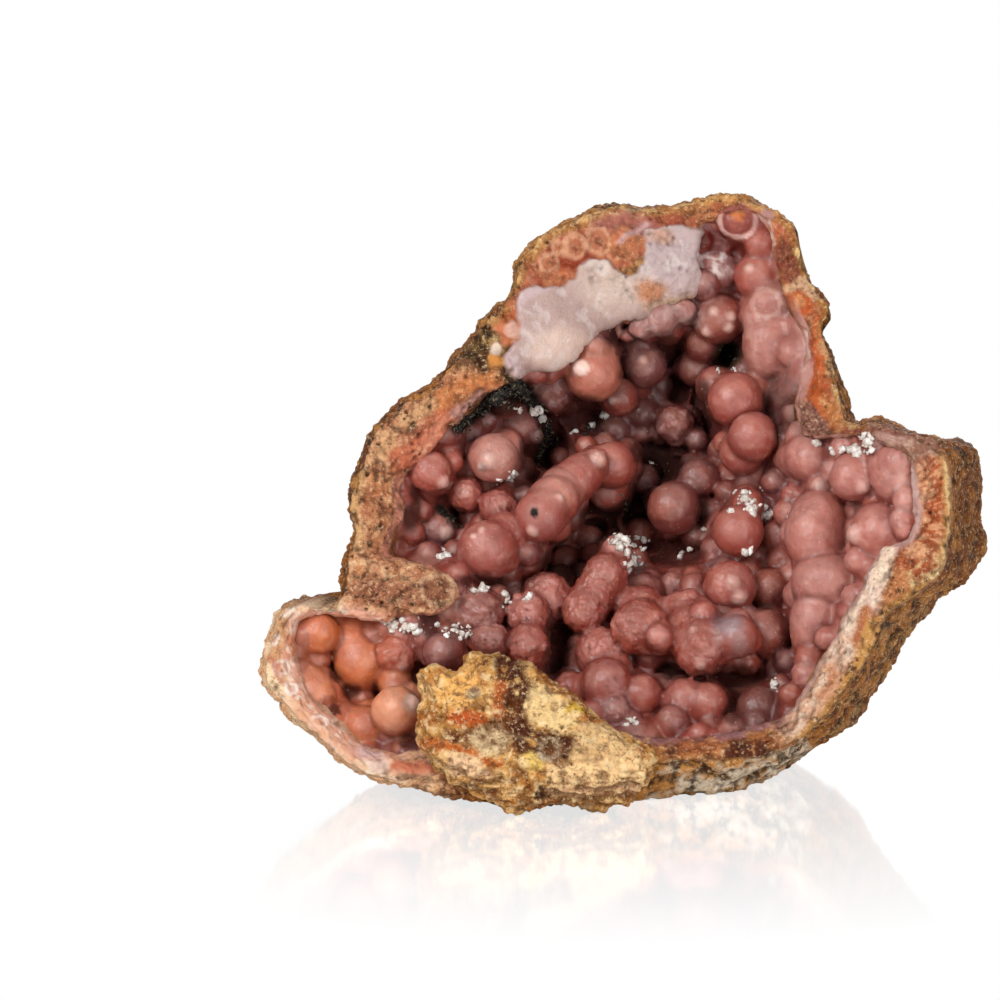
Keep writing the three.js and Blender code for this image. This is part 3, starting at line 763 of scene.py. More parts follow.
def backing_balls(balls, chance):
    """Behind each main lump a chain of balls into the depth, and three smaller ones beside it."""
    backing = []
    for x, y, radius, depth, tone, bumpy, _ in balls:
        size = radius * UNIT
        crowding = BARE_CROWDING if (x, y) in BARE_LUMPS else 0
        lean = chance.normal(0, 0.12, 2) * radius
        step = 0.8 * size
        for k in range(1, int(min(ground_at(x, y) - depth, LONGEST_CHAIN) / step) + 1):
            slim = 0.9 + 0.1 * math.cos(2.1 * k) - 0.02 * k
            backing.append((x + lean[0] * k, y + lean[1] * k, radius * slim, depth + k * step,
                            CHAIN, bumpy, CHAIN_BLEND))
        for k in range(3):
            bearing = 2 * math.pi * (k + chance.uniform(0, 0.8)) / 3
            share = chance.uniform(0.5, 0.8)
            out = radius * chance.uniform(0.5, 0.85)
            behind = size * (chance.uniform(0.8, 1.4) + crowding)
            backing.append((x + out * math.cos(bearing), y + out * math.sin(bearing),
                            radius * share, depth + behind, tone, bumpy, BLEND))
    return backing


def filler_balls(chance):
    """Small lumps all over the bed within the lip, apart from the dark gaps."""
    fillers = []
    pale, dark = [SALMON, PALE, PALE], [ROSE, MAUVE, DUSKY]
    lip = LIP[:, :2].tolist()
    for line, y in enumerate(np.arange(200, 770, FILLER_SPACING * 0.87)):
        for x in np.arange(290, 930, FILLER_SPACING) + (line % 2) * FILLER_SPACING / 2:
            px, py = x + chance.normal(0, 4), y + chance.normal(0, 4)
            radius = chance.uniform(10, 17)
            if inside(np.array([px]), np.array([py]), lip)[0]:
                tones = pale if px > RIGHT_WALL_X and py < RIGHT_WALL_END else dark
                depth = ground_at(px, py) + chance.uniform(-0.2, 0.6) * radius * UNIT
                row = (px, py, radius, depth, chance.choice(tones), chance.uniform(0.1, 0.6), BLEND)
                if gap_share(px, py) < 0.6:
                    fillers.append(row)
    return fillers


def bump_balls(places, chance):
    """Small bumps on the front of the bumpy lumps."""
    bumps = []
    for x, y in BUMPY_LUMPS:
        _, _, radius, depth, *_ = places[(x, y)]
        for _ in range(16):
            bearing, out = chance.uniform(0, 2 * math.pi), radius * chance.uniform(0.1, 0.85)
            small = radius * chance.uniform(0.13, 0.3)
            front = depth - math.sqrt(radius ** 2 - out ** 2) * UNIT
            bumps.append((x + out * math.cos(bearing), y + out * math.sin(bearing), small,
                          front + BUMP_SINK * small * UNIT, BUMP, 0.4, BUMP_BLEND))
    return bumps


def nipple_depth(x, y, radius):
    """The depth of a nipple's middle, from the lump that it sits on."""
    return front_of_lump(x, y) + NIPPLE_SINK * radius * UNIT


def crust_balls():
    """The balls of the crust as x, y, radius, depth, tone, bumpiness and blend, and how many are
    shown to the front rather than filling up behind."""
    chance = np.random.default_rng(7)
    balls, places = main_balls(chance)
    shown = len(balls)
    balls += backing_balls(balls[:len(LUMPS)], chance)
    balls += filler_balls(chance)
    balls += bump_balls(places, chance)
    balls += [(x, y, radius, nipple_depth(x, y, radius), NIPPLE, 0.1, NIPPLE_BLEND)
              for x, y, radius in NIPPLES]
    return np.array(balls), shown


def nearest_balls(flat, balls):
    """The nearest ball of each point, and how plainly a crease with the next one runs here."""
    middles = flattened(balls[:, [0, 1, 3]])
    radii = balls[:, 2] * UNIT
    apart = np.linalg.norm(middles[:, None] - middles[None], axis=2)
    plain = smoothstep(apart / (radii[:, None] + radii[None]), 0.4, 0.68)
    np.fill_diagonal(plain, 0)
    nearest, crease = [], []
    for part in np.array_split(flat, max(1, len(flat) // 3000)):
        squared = ((part ** 2).sum(axis=1)[:, None] + (middles ** 2).sum(axis=1)[None]
                   - 2 * part @ middles.T)
        away = np.sqrt(np.clip(squared, 0, None)) - radii
        rows = np.arange(len(part))
        first = away.argmin(axis=1)
        best = away[rows, first].copy()
        line = plain[first] * np.clip(1 - (away - best[:, None]) / CREASE_WIDTH, 0, 1)
        nearest.append(first)
        crease.append(line.max(axis=1))
    return np.concatenate(nearest), np.concatenate(crease)


def front_of_lump(x, y):
    """The depth of the foremost main lump's surface at this place of the sheet."""
    found = HOLLOW_DEPTH
    for at_x, at_y, radius, depth, _ in LUMPS + EXTRA_LUMPS:
        away = math.hypot(x - at_x, y - at_y)
        if away < radius:
            found = min(found, depth - math.sqrt(radius ** 2 - away ** 2) * UNIT)
    return found


def least(a, b, blend):
    """The smaller of two distances, rounded where they are alike."""
    share = np.clip(blend - np.abs(a - b), 0, None) / blend
    return np.minimum(a, b) - share ** 2 * blend / 4


def crust_part(name, balls):
    """One part of the crust, as flat millimetre points and quads."""
    names = list(CRUST_PARTS)
    centres = np.array([CRUST_PARTS[n] for n in names], dtype=float)
    nearest = np.argmin(np.hypot(balls[:, None, 0] - centres[None, :, 0],
                                 balls[:, None, 1] - centres[None, :, 1]), axis=1)
    own = balls[nearest == names.index(name)]
    middles = flattened(own[:, [0, 1, 3]])
    radii = own[:, 2] * UNIT
    margin = 4 * CRUST_STEP
    low = (middles - radii[:, None]).min(axis=0) - margin
    high = (middles + radii[:, None]).max(axis=0) + margin
    high[2] += BED_THICK
    counts = np.ceil((high - low) / CRUST_STEP).astype(int)
    axes = [low[k] + CRUST_STEP * np.arange(counts[k]) for k in range(3)]
    far = 4 * CRUST_STEP
    field = np.full(counts, far)
    right, up = np.meshgrid(axes[0], axes[1], indexing="ij")
    x, y = SHEET_MIDDLE + right / UNIT, SHEET_MIDDLE - up / UNIT
    depth = ground_depth(x, y)
    slope = np.hypot(*np.gradient(depth, CRUST_STEP))
    to_bed = (depth[:, :, None] - axes[2][None, None, :])
    steepness = np.sqrt(1 + np.clip(slope, 0, 2.5) ** 2)[:, :, None]
    slab = np.maximum(to_bed, -to_bed - BED_THICK) / steepness
    away = np.hypot(x[:, :, None] - centres[:, 0], y[:, :, None] - centres[:, 1])
    others = np.delete(away, names.index(name), axis=2).min(axis=2)
    border = (away[:, :, names.index(name)] - others) * UNIT / 2 - 0.8
    field = np.minimum(field, np.maximum(slab, border[:, :, None]))

    for middle, radius, blend in zip(middles, radii, own[:, 6]):
        start = np.clip(((middle - radius - margin - low) / CRUST_STEP).astype(int), 0, counts)
        stop = np.clip(((middle + radius + margin - low) / CRUST_STEP).astype(int) + 1, 0, counts)
        a, b, c = (axes[k][start[k]:stop[k]] - middle[k] for k in range(3))
        distance = np.sqrt(a[:, None, None] ** 2 + b[None, :, None] ** 2 + c[None, None, :] ** 2)
        block = tuple(slice(start[k], stop[k]) for k in range(3))
        field[block] = least(field[block], distance - radius, blend)

    field = np.maximum(field, (lip_distance(x, y) - WALL_OVERLAP)[:, :, None])
    field = np.clip(field, -far, far).astype(np.float32)
    field[[0, -1]] = far
    field[:, [0, -1]] = far
    field[:, :, [0, -1]] = far
    grid = openvdb.FloatGrid(far)
    grid.copyFromArray(field)
    points, quads = grid.convertToQuads(0.0)
    return low + np.asarray(points, dtype=float) * CRUST_STEP, np.asarray(quads)


def lip_distance(x, y):
    """Millimetres on the sheet outside the lip of the hollow, less than 0 inside it."""
    spots = np.arange(0, len(LIP), 0.34)
    route = curve(LIP, spots)[:, :2]
    flat_x, flat_y = x.ravel(), y.ravel()
    nearest = np.full(len(flat_x), 1e9)
    for (ax, ay), (bx, by) in zip(route, np.roll(route, -1, axis=0)):
        dx, dy = bx - ax, by - ay
        share = ((flat_x - ax) * dx + (flat_y - ay) * dy) / (dx * dx + dy * dy + 1e-9)
        share = np.clip(share, 0, 1)
        squared = (flat_x - ax - share * dx) ** 2 + (flat_y - ay - share * dy) ** 2
        nearest = np.minimum(nearest, squared)
    signed = np.sqrt(nearest) * np.where(inside(flat_x, flat_y, route.tolist()), -1, 1) * UNIT
    return signed.reshape(x.shape)


# ---------------------------------------------------------------- materials

class Nodes:
    """A few words for building a material's node tree."""

    def __init__(self, name):
        self.material = bpy.data.materials.new(name)
        self.material.use_nodes = True
        self.tree = self.material.node_tree
        self.tree.nodes.clear()
        self.output = self.add("ShaderNodeOutputMaterial")
        self.shader = self.add("ShaderNodeBsdfPrincipled")
        self.join(self.shader.outputs["BSDF"], self.output.inputs["Surface"])
        self.place = self.add("ShaderNodeTexCoord").outputs["Object"]

    def add(self, kind, **settings):
        node = self.tree.nodes.new(kind)
        for key, value in settings.items():
            setattr(node, key, value)
        return node

    def join(self, output, socket):
        self.tree.links.new(output, socket)

    def field(self, name, output="Fac"):
        return self.add("ShaderNodeAttribute", attribute_name=name).outputs[output]

    def noise(self, size_mm, detail=4.0, roughness=0.55):
        node = self.add("ShaderNodeTexNoise")
        node.inputs["Scale"].default_value = 1000 / size_mm
        node.inputs["Detail"].default_value = detail
        node.inputs["Roughness"].default_value = roughness
        self.join(self.place, node.inputs["Vector"])
        return node.outputs["Fac"]

    def cells(self, size_mm):
        node = self.add("ShaderNodeTexVoronoi")
        node.inputs["Scale"].default_value = 1000 / size_mm
        self.join(self.place, node.inputs["Vector"])
        return node.outputs["Distance"]

    def spread(self, value, low, high, to_low=0.0, to_high=1.0):
        node = self.add("ShaderNodeMapRange")
        node.inputs["From Min"].default_value = low
        node.inputs["From Max"].default_value = high
        node.inputs["To Min"].default_value = to_low
        node.inputs["To Max"].default_value = to_high
        self.join(value, node.inputs["Value"])
        return node.outputs["Result"]

    def sum(self, a, b, kind="ADD"):
        node = self.add("ShaderNodeMath", operation=kind)
        for socket, value in zip(node.inputs, (a, b)):
            if isinstance(value, (int, float)):
                socket.default_value = value
            else:
                self.join(value, socket)
        return node.outputs["Value"]

    def blend(self, a, b, share, kind="MIX"):
        node = self.add("ShaderNodeMix", data_type="RGBA", blend_type=kind)
        for socket, value in zip((node.inputs[6], node.inputs[7], node.inputs[0]), (a, b, share)):
            if isinstance(value, str):
                socket.default_value = (*linear(value), 1)
            elif isinstance(value, (int, float)):
                socket.default_value = value
            else:
                self.join(value, socket)
        return node.outputs[2]

    def bump(self, height, distance_mm, strength=1.0):
        node = self.add("ShaderNodeBump")
        node.inputs["Distance"].default_value = distance_mm * MM
        node.inputs["Strength"].default_value = strength
        self.join(height, node.inputs["Height"])
        self.join(node.outputs["Normal"], self.shader.inputs["Normal"])


def stone_material():
    """Rind and broken face: the laid colour, mottled and grainy, glossier where it is waxy."""
    n = Nodes("rind_stone")
    tint = n.field("tint", "Color")
    wax = n.field("wax")
    speckle = n.spread(n.noise(0.55, 4.0, 0.7), 0.5, 0.66)
    patchy = n.spread(n.noise(3.2, 2.0), 0.4, 0.6, 0.45, 0.95)
    mottling = n.sum(speckle, patchy, "MULTIPLY")
    mottled = n.blend(tint, n.blend(tint, "643410", 1.0, "MULTIPLY"), mottling)
    light = n.spread(n.noise(0.6, 4.0, 0.7), 0.54, 0.66)
    grainy = n.blend(mottled, "ffe8c4", n.sum(light, 0.5, "MULTIPLY"))
    colour = n.blend(grainy, "fff4e2", 1.0, "MULTIPLY")
    n.join(n.blend(colour, tint, wax), n.shader.inputs["Base Color"])
    n.join(n.sum(n.spread(wax, 0, 1, 0.7, 0.28), n.spread(speckle, 0, 1, -0.12, 0.1)),
           n.shader.inputs["Roughness"])
    n.shader.inputs["Specular IOR Level"].default_value = 0.2
    n.shader.inputs["Subsurface Weight"].default_value = 0.15
    n.shader.inputs["Subsurface Radius"].default_value = (1.0, 0.45, 0.3)
    n.shader.inputs["Subsurface Scale"].default_value = 0.002
    n.bump(n.noise(0.5, 6.0, 0.7), 0.34, 0.95)
    return n.material


def chalcedony_material():
    """Waxy, translucent chalcedony: the laid colour with soft clouds and a fine druse."""
    n = Nodes("pink_chalcedony")
    tint = n.field("tint", "Color")
    cloud = n.spread(n.noise(2.6, 3.0), 0.3, 0.7)
    darker = n.blend(tint, "c08a80", 1.0, "MULTIPLY")
    clouded = n.blend(darker, tint, n.spread(cloud, 0, 1, 0.6, 1.0))
    freckle = n.spread(n.cells(1.3), 0.0, 0.16, 0.35, 0.0)
    n.join(n.blend(clouded, "f2c4b4", freckle), n.shader.inputs["Base Color"])
    waxy = n.spread(n.field("wax"), 0, 1, 0.4, 0.0)
    uneven = n.spread(n.noise(0.8, 3.0), 0.3, 0.7, 0.28, 0.46)
    n.join(n.sum(waxy, uneven), n.shader.inputs["Roughness"])
    n.shader.inputs["Subsurface Weight"].default_value = 0.8
    n.shader.inputs["Subsurface Radius"].default_value = (1.0, 0.42, 0.3)
    n.shader.inputs["Subsurface Scale"].default_value = 0.0011
    n.join(n.spread(n.field("wax"), 0, 1, 0.05, 0.5), n.shader.inputs["Specular IOR Level"])
    height = n.sum(n.noise(0.55, 4.0, 0.6), n.spread(n.noise(1.8, 2.0), 0, 1, 0, 1.2))
    knobbly = n.sum(n.spread(n.cells(0.75), 0, 0.7, 1.1, 0), n.field("bumpy"), "MULTIPLY")
    n.bump(n.sum(height, knobbly), 0.14, 0.7)
    return n.material


def grain_material(name, roughness):
    """Fine grains: the laid colour, slightly clouded, and rough."""
    n = Nodes(name)
    tint = n.field("tint", "Color")
    darker = n.blend(tint, "cfc4ba", 1.0, "MULTIPLY")
    n.join(n.blend(darker, tint, n.spread(n.noise(0.5), 0.35, 0.6)), n.shader.inputs["Base Color"])
    uneven = n.spread(n.noise(0.9), 0, 1, roughness - 0.15, roughness + 0.2)
    n.join(uneven, n.shader.inputs["Roughness"])
    n.bump(n.noise(0.25, 4.0), 0.1)
    return n.material


GLOSS_GAIN = 1 / 0.4  # makes up on the floor for the dimmer studio that glossy rays see


def floor_material():
    """White, with a soft reflection that fades away from the rock."""
    n = Nodes("studio_floor")
    n.shader.inputs["Base Color"].default_value = (0.85, 0.83, 0.8, 1)
    white = n.add("ShaderNodeEmission")
    gloss = n.add("ShaderNodeBsdfGlossy")
    gloss.inputs["Roughness"].default_value = 0.09
    gloss.inputs["Color"].default_value = (GLOSS_GAIN, GLOSS_GAIN, GLOSS_GAIN, 1)
    away = n.add("ShaderNodeVectorMath", operation="LENGTH")
    n.join(n.place, away.inputs[0])
    polished = n.add("ShaderNodeMixShader")
    n.join(n.spread(away.outputs["Value"], 0.05, 0.105, 0.26, 0.0), polished.inputs[0])
    n.join(white.outputs[0], polished.inputs[1])
    n.join(gloss.outputs[0], polished.inputs[2])
    seen = n.add("ShaderNodeMixShader")
    n.join(n.add("ShaderNodeLightPath").outputs["Is Camera Ray"], seen.inputs[0])
    n.join(n.shader.outputs[0], seen.inputs[1])
    n.join(polished.outputs[0], seen.inputs[2])
    n.join(seen.outputs[0], n.output.inputs["Surface"])
    return n.material


# ---------------------------------------------------------------- the pieces

def dress_rim(stone):
    points, band, spot, width, around, count = broken_rim()
    face = (1 - smoothstep(band, 0.96, 1.1)) * smoothstep(band, -0.05, 0.02)
    faces = outward(points, ring_faces(count, around, closed=True))
    normals = corner_normals(points, faces)
    last_seen, before_it = (slice(k * around, (k + 1) * around) for k in (count - 2, count - 3))
    normals[last_seen] = normals[before_it]  # its own lean towards the hidden wall
    paint = Paint(points, RIND_TONE)
    knobs, grains = rind_relief(points)
    paint_rind(paint, grains)
    white, domes = paint_rim(paint, band, spot, face, width)
    steps, fine = face_relief(points, smoothstep(paint.wax, 0.7, 1.0))
    weathered(paint, fine, face * (1 - 0.75 * paint.wax), "4a2412", "f2dcc0")
    relief = mix(steps + fine, knobs + grains, smoothstep(band, 0.97, 1.3))
    relief += SHEET_RISE * white + AGATE_RISE * domes
    relief *= smoothstep(band, -0.1, 0.03) * (band < 2.2)
    points = points + normals * relief[:, None]
    points[:, 2] = np.maximum(points[:, 2], 0)
    edge_row = int((band[::around] < 1).sum())
    for name, first, last, hidden in (("broken_face", 0, edge_row, 0),
                                      ("rind_edge", edge_row, count - 1, 1)):
        own = slice(first * around, (last + 1) * around)
        faces = outward(points[own], ring_faces(last - first + 1, around, closed=True))
        fields = {"tint": paint.colour[own], "wax": paint.wax[own]}
        piece = make_piece(name, points[own], faces, fields, stone, "geode_shell")
        crease_rings(piece.data, around, (0, last - first, last - first - hidden))


def crease_rings(mesh, around, rings):
    """Shade a band of rings apart from its hidden wall, by sharp edges along these rings."""
    ends = np.empty(2 * len(mesh.edges), dtype=int)
    mesh.edges.foreach_get("vertices", ends)
    rows = ends.reshape(-1, 2) // around
    sharp = (rows[:, 0] == rows[:, 1]) & np.isin(rows[:, 0], rings)
    mesh.attributes.new("sharp_edge", "BOOLEAN", "EDGE").data.foreach_set("value", sharp)


def dress_back(stone):
    points, faces, calm, sunk = rind_back()
    faces = outward(points, faces)
    normals = corner_normals(points, faces)
    knobs, grains = rind_relief(points)
    points = points + normals * ((knobs + grains) * calm - sunk)[:, None]
    points[:, 2] = np.maximum(points[:, 2], 0)
    paint = Paint(points, RIND_TONE)
    paint_rind(paint, grains)
    make_piece("rind_back", points, faces, {"tint": paint.colour, "wax": paint.wax},
               stone, "geode_shell")


def dress_knob(stone):
    points, faces, caps = knob_shape()
    quads = outward(points, faces)
    if quads is not faces:
        caps = [cap[::-1] for cap in caps]
    normals = corner_normals(points, quads)
    knobs, grains = rind_relief(points)
    lumps = heaps(points, 1.0, 3.6, 0.9, shift=6.0, middle=0.5)
    low = 1 - smoothstep(points[:, 2], 5.0, 9.0)
    ledges = low * np.abs(waves(points * np.array([0.35, 1, 2.2]), 5.0, shift=2.0))
    relief = 0.9 * knobs + 0.9 * lumps - 1.8 * ledges + 1.1 * grains
    points = points + normals * relief[:, None]
    points[:, 2] = np.maximum(points[:, 2], 0)
    paint = Paint(points, KNOB_TONE, ragged=3.0)
    paint_knob(paint)
    weathered(paint, 0.7 * grains + 0.4 * lumps - 0.8 * ledges, 0.7, "6a3814", "f6dfb8")
    make_piece("knob_at_foot", points, list(quads) + caps, {"tint": paint.colour, "wax": paint.wax},
               stone, "geode_shell")


def dress_crust(chalcedony):
    balls, shown = crust_balls()
    coloured = balls[balls[:, 4] < NIPPLE]
    for name in CRUST_PARTS:
        flat, quads = crust_part(name, balls)
        nearest, crease = nearest_balls(flat, coloured)
        points = placed(unflattened(flat))
        faces = outward(points, quads)
        normals = corner_normals(points, faces)
        bumps = heaps(points, 0.5, 1.1, 0.8, shift=27.0)
        relief = 0.1 * waves(points, 1.9, 2) + 0.05 * waves(points, 0.6, 2)
        relief += bumps * coloured[nearest, 5]
        paint = Paint(points, TONES[0], ragged=2.0)
        paint_crust(paint, coloured, nearest, crease, shown)
        points = points + normals * relief[:, None]
        fields = {"tint": paint.colour, "wax": paint.wax, "bumpy": coloured[nearest, 5]}
        make_piece(name, points, faces, fields, chalcedony, "chalcedony_crust")
    return balls


RIND_TONE = "82491c"
# Named places on the rind, each the product of its masks.
RIND_AREAS = {
    "low": [("y", 560, 640), ("x", 640, 760)],
    "foot": [("y", 748, 768), ("x", 590, 640), ("-x", -840, -790)],
    "frost": [("stroke", [(690, 786), (735, 778), (775, 768), (800, 752)], 22, 6), ("before", 22)],
    "left": [("-x", -470, -400), ("y", 590, 620)],
    "gilt": [("stroke", [(902, 598), (888, 632), (868, 668), (842, 700)], 26, 8), ("before", 22)],
    "golden": [("-y", -260, -220), ("-depth", -42.5, -40.5)],
}
RIND_LAYERS = [
    ("a56a2e", 1, ("tone", 0.0, 0.45)),
    ("5c3212", 1, ("-tone", 0.1, 0.5)),
    ("b98a50", 0.6, ("patches", 0.08, 0.3)),
    ("4a2a12", 0.6, ("-patches", 0.12, 0.35)),
    ("cc924a", 0.8, ("small", 0.15, 0.5)),
    ("b07c42", 0.6, "low", ("small", -0.3, 0.25)),
    ("bc9866", 0.55, "low", ("ochre", 0.1, 0.4)),
    ("d29a58", 0.85, "foot"),
    ("dcd0c2", 0.8, "foot", ("druse", 0.0, 0.3)),
    ("d8d0c6", 0.9, "frost", ("clumps", -0.25, -0.05)),
    ("f6f0e8", 0.8, "frost", ("small", 0.05, 0.25)),
    ("3c3026", 0.85, "frost", ("bare", 0.1, 0.25)),
    ("ecbe9c", 0.85, "left"),
    ("f4dcc4", 0.7, "left", ("small", 0.0, 0.3)),
    ("b97f42", 0.75, "gilt", ("small", -0.3, 0.3)),
    ("7c4410", 0.55, ("stroke", [(962, 455), (974, 515), (962, 580)], 30, 8)),
    ("b98448", 0.8, "golden"),
    ("e2bc84", 0.7, "golden", ("small", -0.1, 0.3)),
]


def paint_rind(paint, grains):
    """Ochre and brown weathered rind, lighter low on the right, grey and white under the hollow."""
    points = paint.points
    tone = waves(points, 9.0, shift=5.0)
    small = waves(points, 2.6, shift=9.0)
    druse = waves(points, 3.0, shift=37.0)
    paint.fields.update({
        "tone": tone, "small": small, "druse": druse,
        "patches": waves(points, 17.0, shift=71.0) * smoothstep(paint.depth, 24, 34),
        "ochre": waves(points, 3.5, shift=31.0),
        "clumps": druse + 0.5 * small,
        "bare": -small - 0.3 * druse,
    })
    paint.name_areas(RIND_AREAS)
    paint.fields["left"] *= 1 - 0.85 * smoothstep(paint.depth + 5 * tone, 17, 27)
    paint.layers(RIND_LAYERS)
    weathered(paint, grains, 1 - 0.7 * paint.fields["left"], "33190a", "dcaa62")


STATION_SOFT = 0.6  # stations over which one part of the rim passes into the next


def along(spot, first, last):
    """Where the stations of the rim run from first to last."""
    begun = smoothstep(spot, first - STATION_SOFT, first + STATION_SOFT)
    return begun * (1 - smoothstep(spot, last - STATION_SOFT, last + STATION_SOFT))


SHEET_RISE = 0.7  # mm by which the white sheet stands out of the face
AGATE_RISE = 1.6
WHITE_SHEET = [
    (503, 363), (516, 379), (530, 371), (558, 370), (587, 346), (602, 330), (625, 321), (652, 315),
    (690, 306), (704, 287), (698, 260), (699, 240), (703, 225), (675, 228), (645, 230), (645, 263),
    (630, 277), (617, 269), (608, 260), (596, 259), (580, 266), (578, 277), (571, 281), (552, 287),
    (537, 284), (518, 297), (518, 310), (520, 325), (517, 340), (507, 350),
]
BLACK_BAND = [(458, 428), (490, 400), (515, 385), (530, 400), (545, 420), (548, 440), (540, 460)]
# Named places on the rim. "along" gives its stations from first to last.
RIM_AREAS = {
    "lobe_end": [("along", 67.2, 69)],
    "right": [("along", 12.5, 20.5)],
    "outer": [("stroke", [(824, 340), (832, 368), (841, 395), (852, 417)], 13, 5)],
    "notch": [("patch", [(455, 335), (482, 318), (512, 345), (520, 384), (478, 392), (452, 360)])],
    "white": [("patch", WHITE_SHEET, 2.0), ("before", 48)],
    "arm_top": [("along", 20.6, 24.2)],
    "arm": [("along", 23.8, 29.5)],
    "low_right": [("along", 28.2, 35.6)],
    "bottom": [("along", 35.2, 40.8)],
    "behind": [("along", 40.5, 45.5)],
    "pocket": [("along", 45.2, 55.2)],
    "wall": [("along", 54.8, 67.6)],
}


def lobe_agate(x, y, radius):
    """One banded agate eye of the lobe."""
    return [
        ("c67e5c", 0.8, 0.7, ("blob", x, y, radius)),
        ("e6b894", 0.7, 0.45, ("ring", x, y, radius * 0.95, 4)),
        ("a55f40", 0.8, 0.5, ("ring", x, y, radius * 0.55, 3)),
        ("7e4630", 0.6, 0.8, ("blob", x, y, radius * 0.3)),
    ]


def pocket_disc(x, y, radius):
    """One translucent disc with a pale rim on the pocket's edge."""
    return [
        ("dcae9c", 0.8, 0.6, ("blob", x, y, radius)),
        ("fbeee6", 0.8, 0.7, ("ring", x, y, radius, 3)),
    ]


LOBE_AGATES = [(575, 247, 12), (599, 240, 12), (551, 260, 9), (560, 246, 7), (632, 243, 7)]
POCKET_DISCS = [
    (273, 640, 6), (281, 668, 7), (292, 690, 6), (318, 722, 6), (336, 742, 6), (286, 612, 6),
]
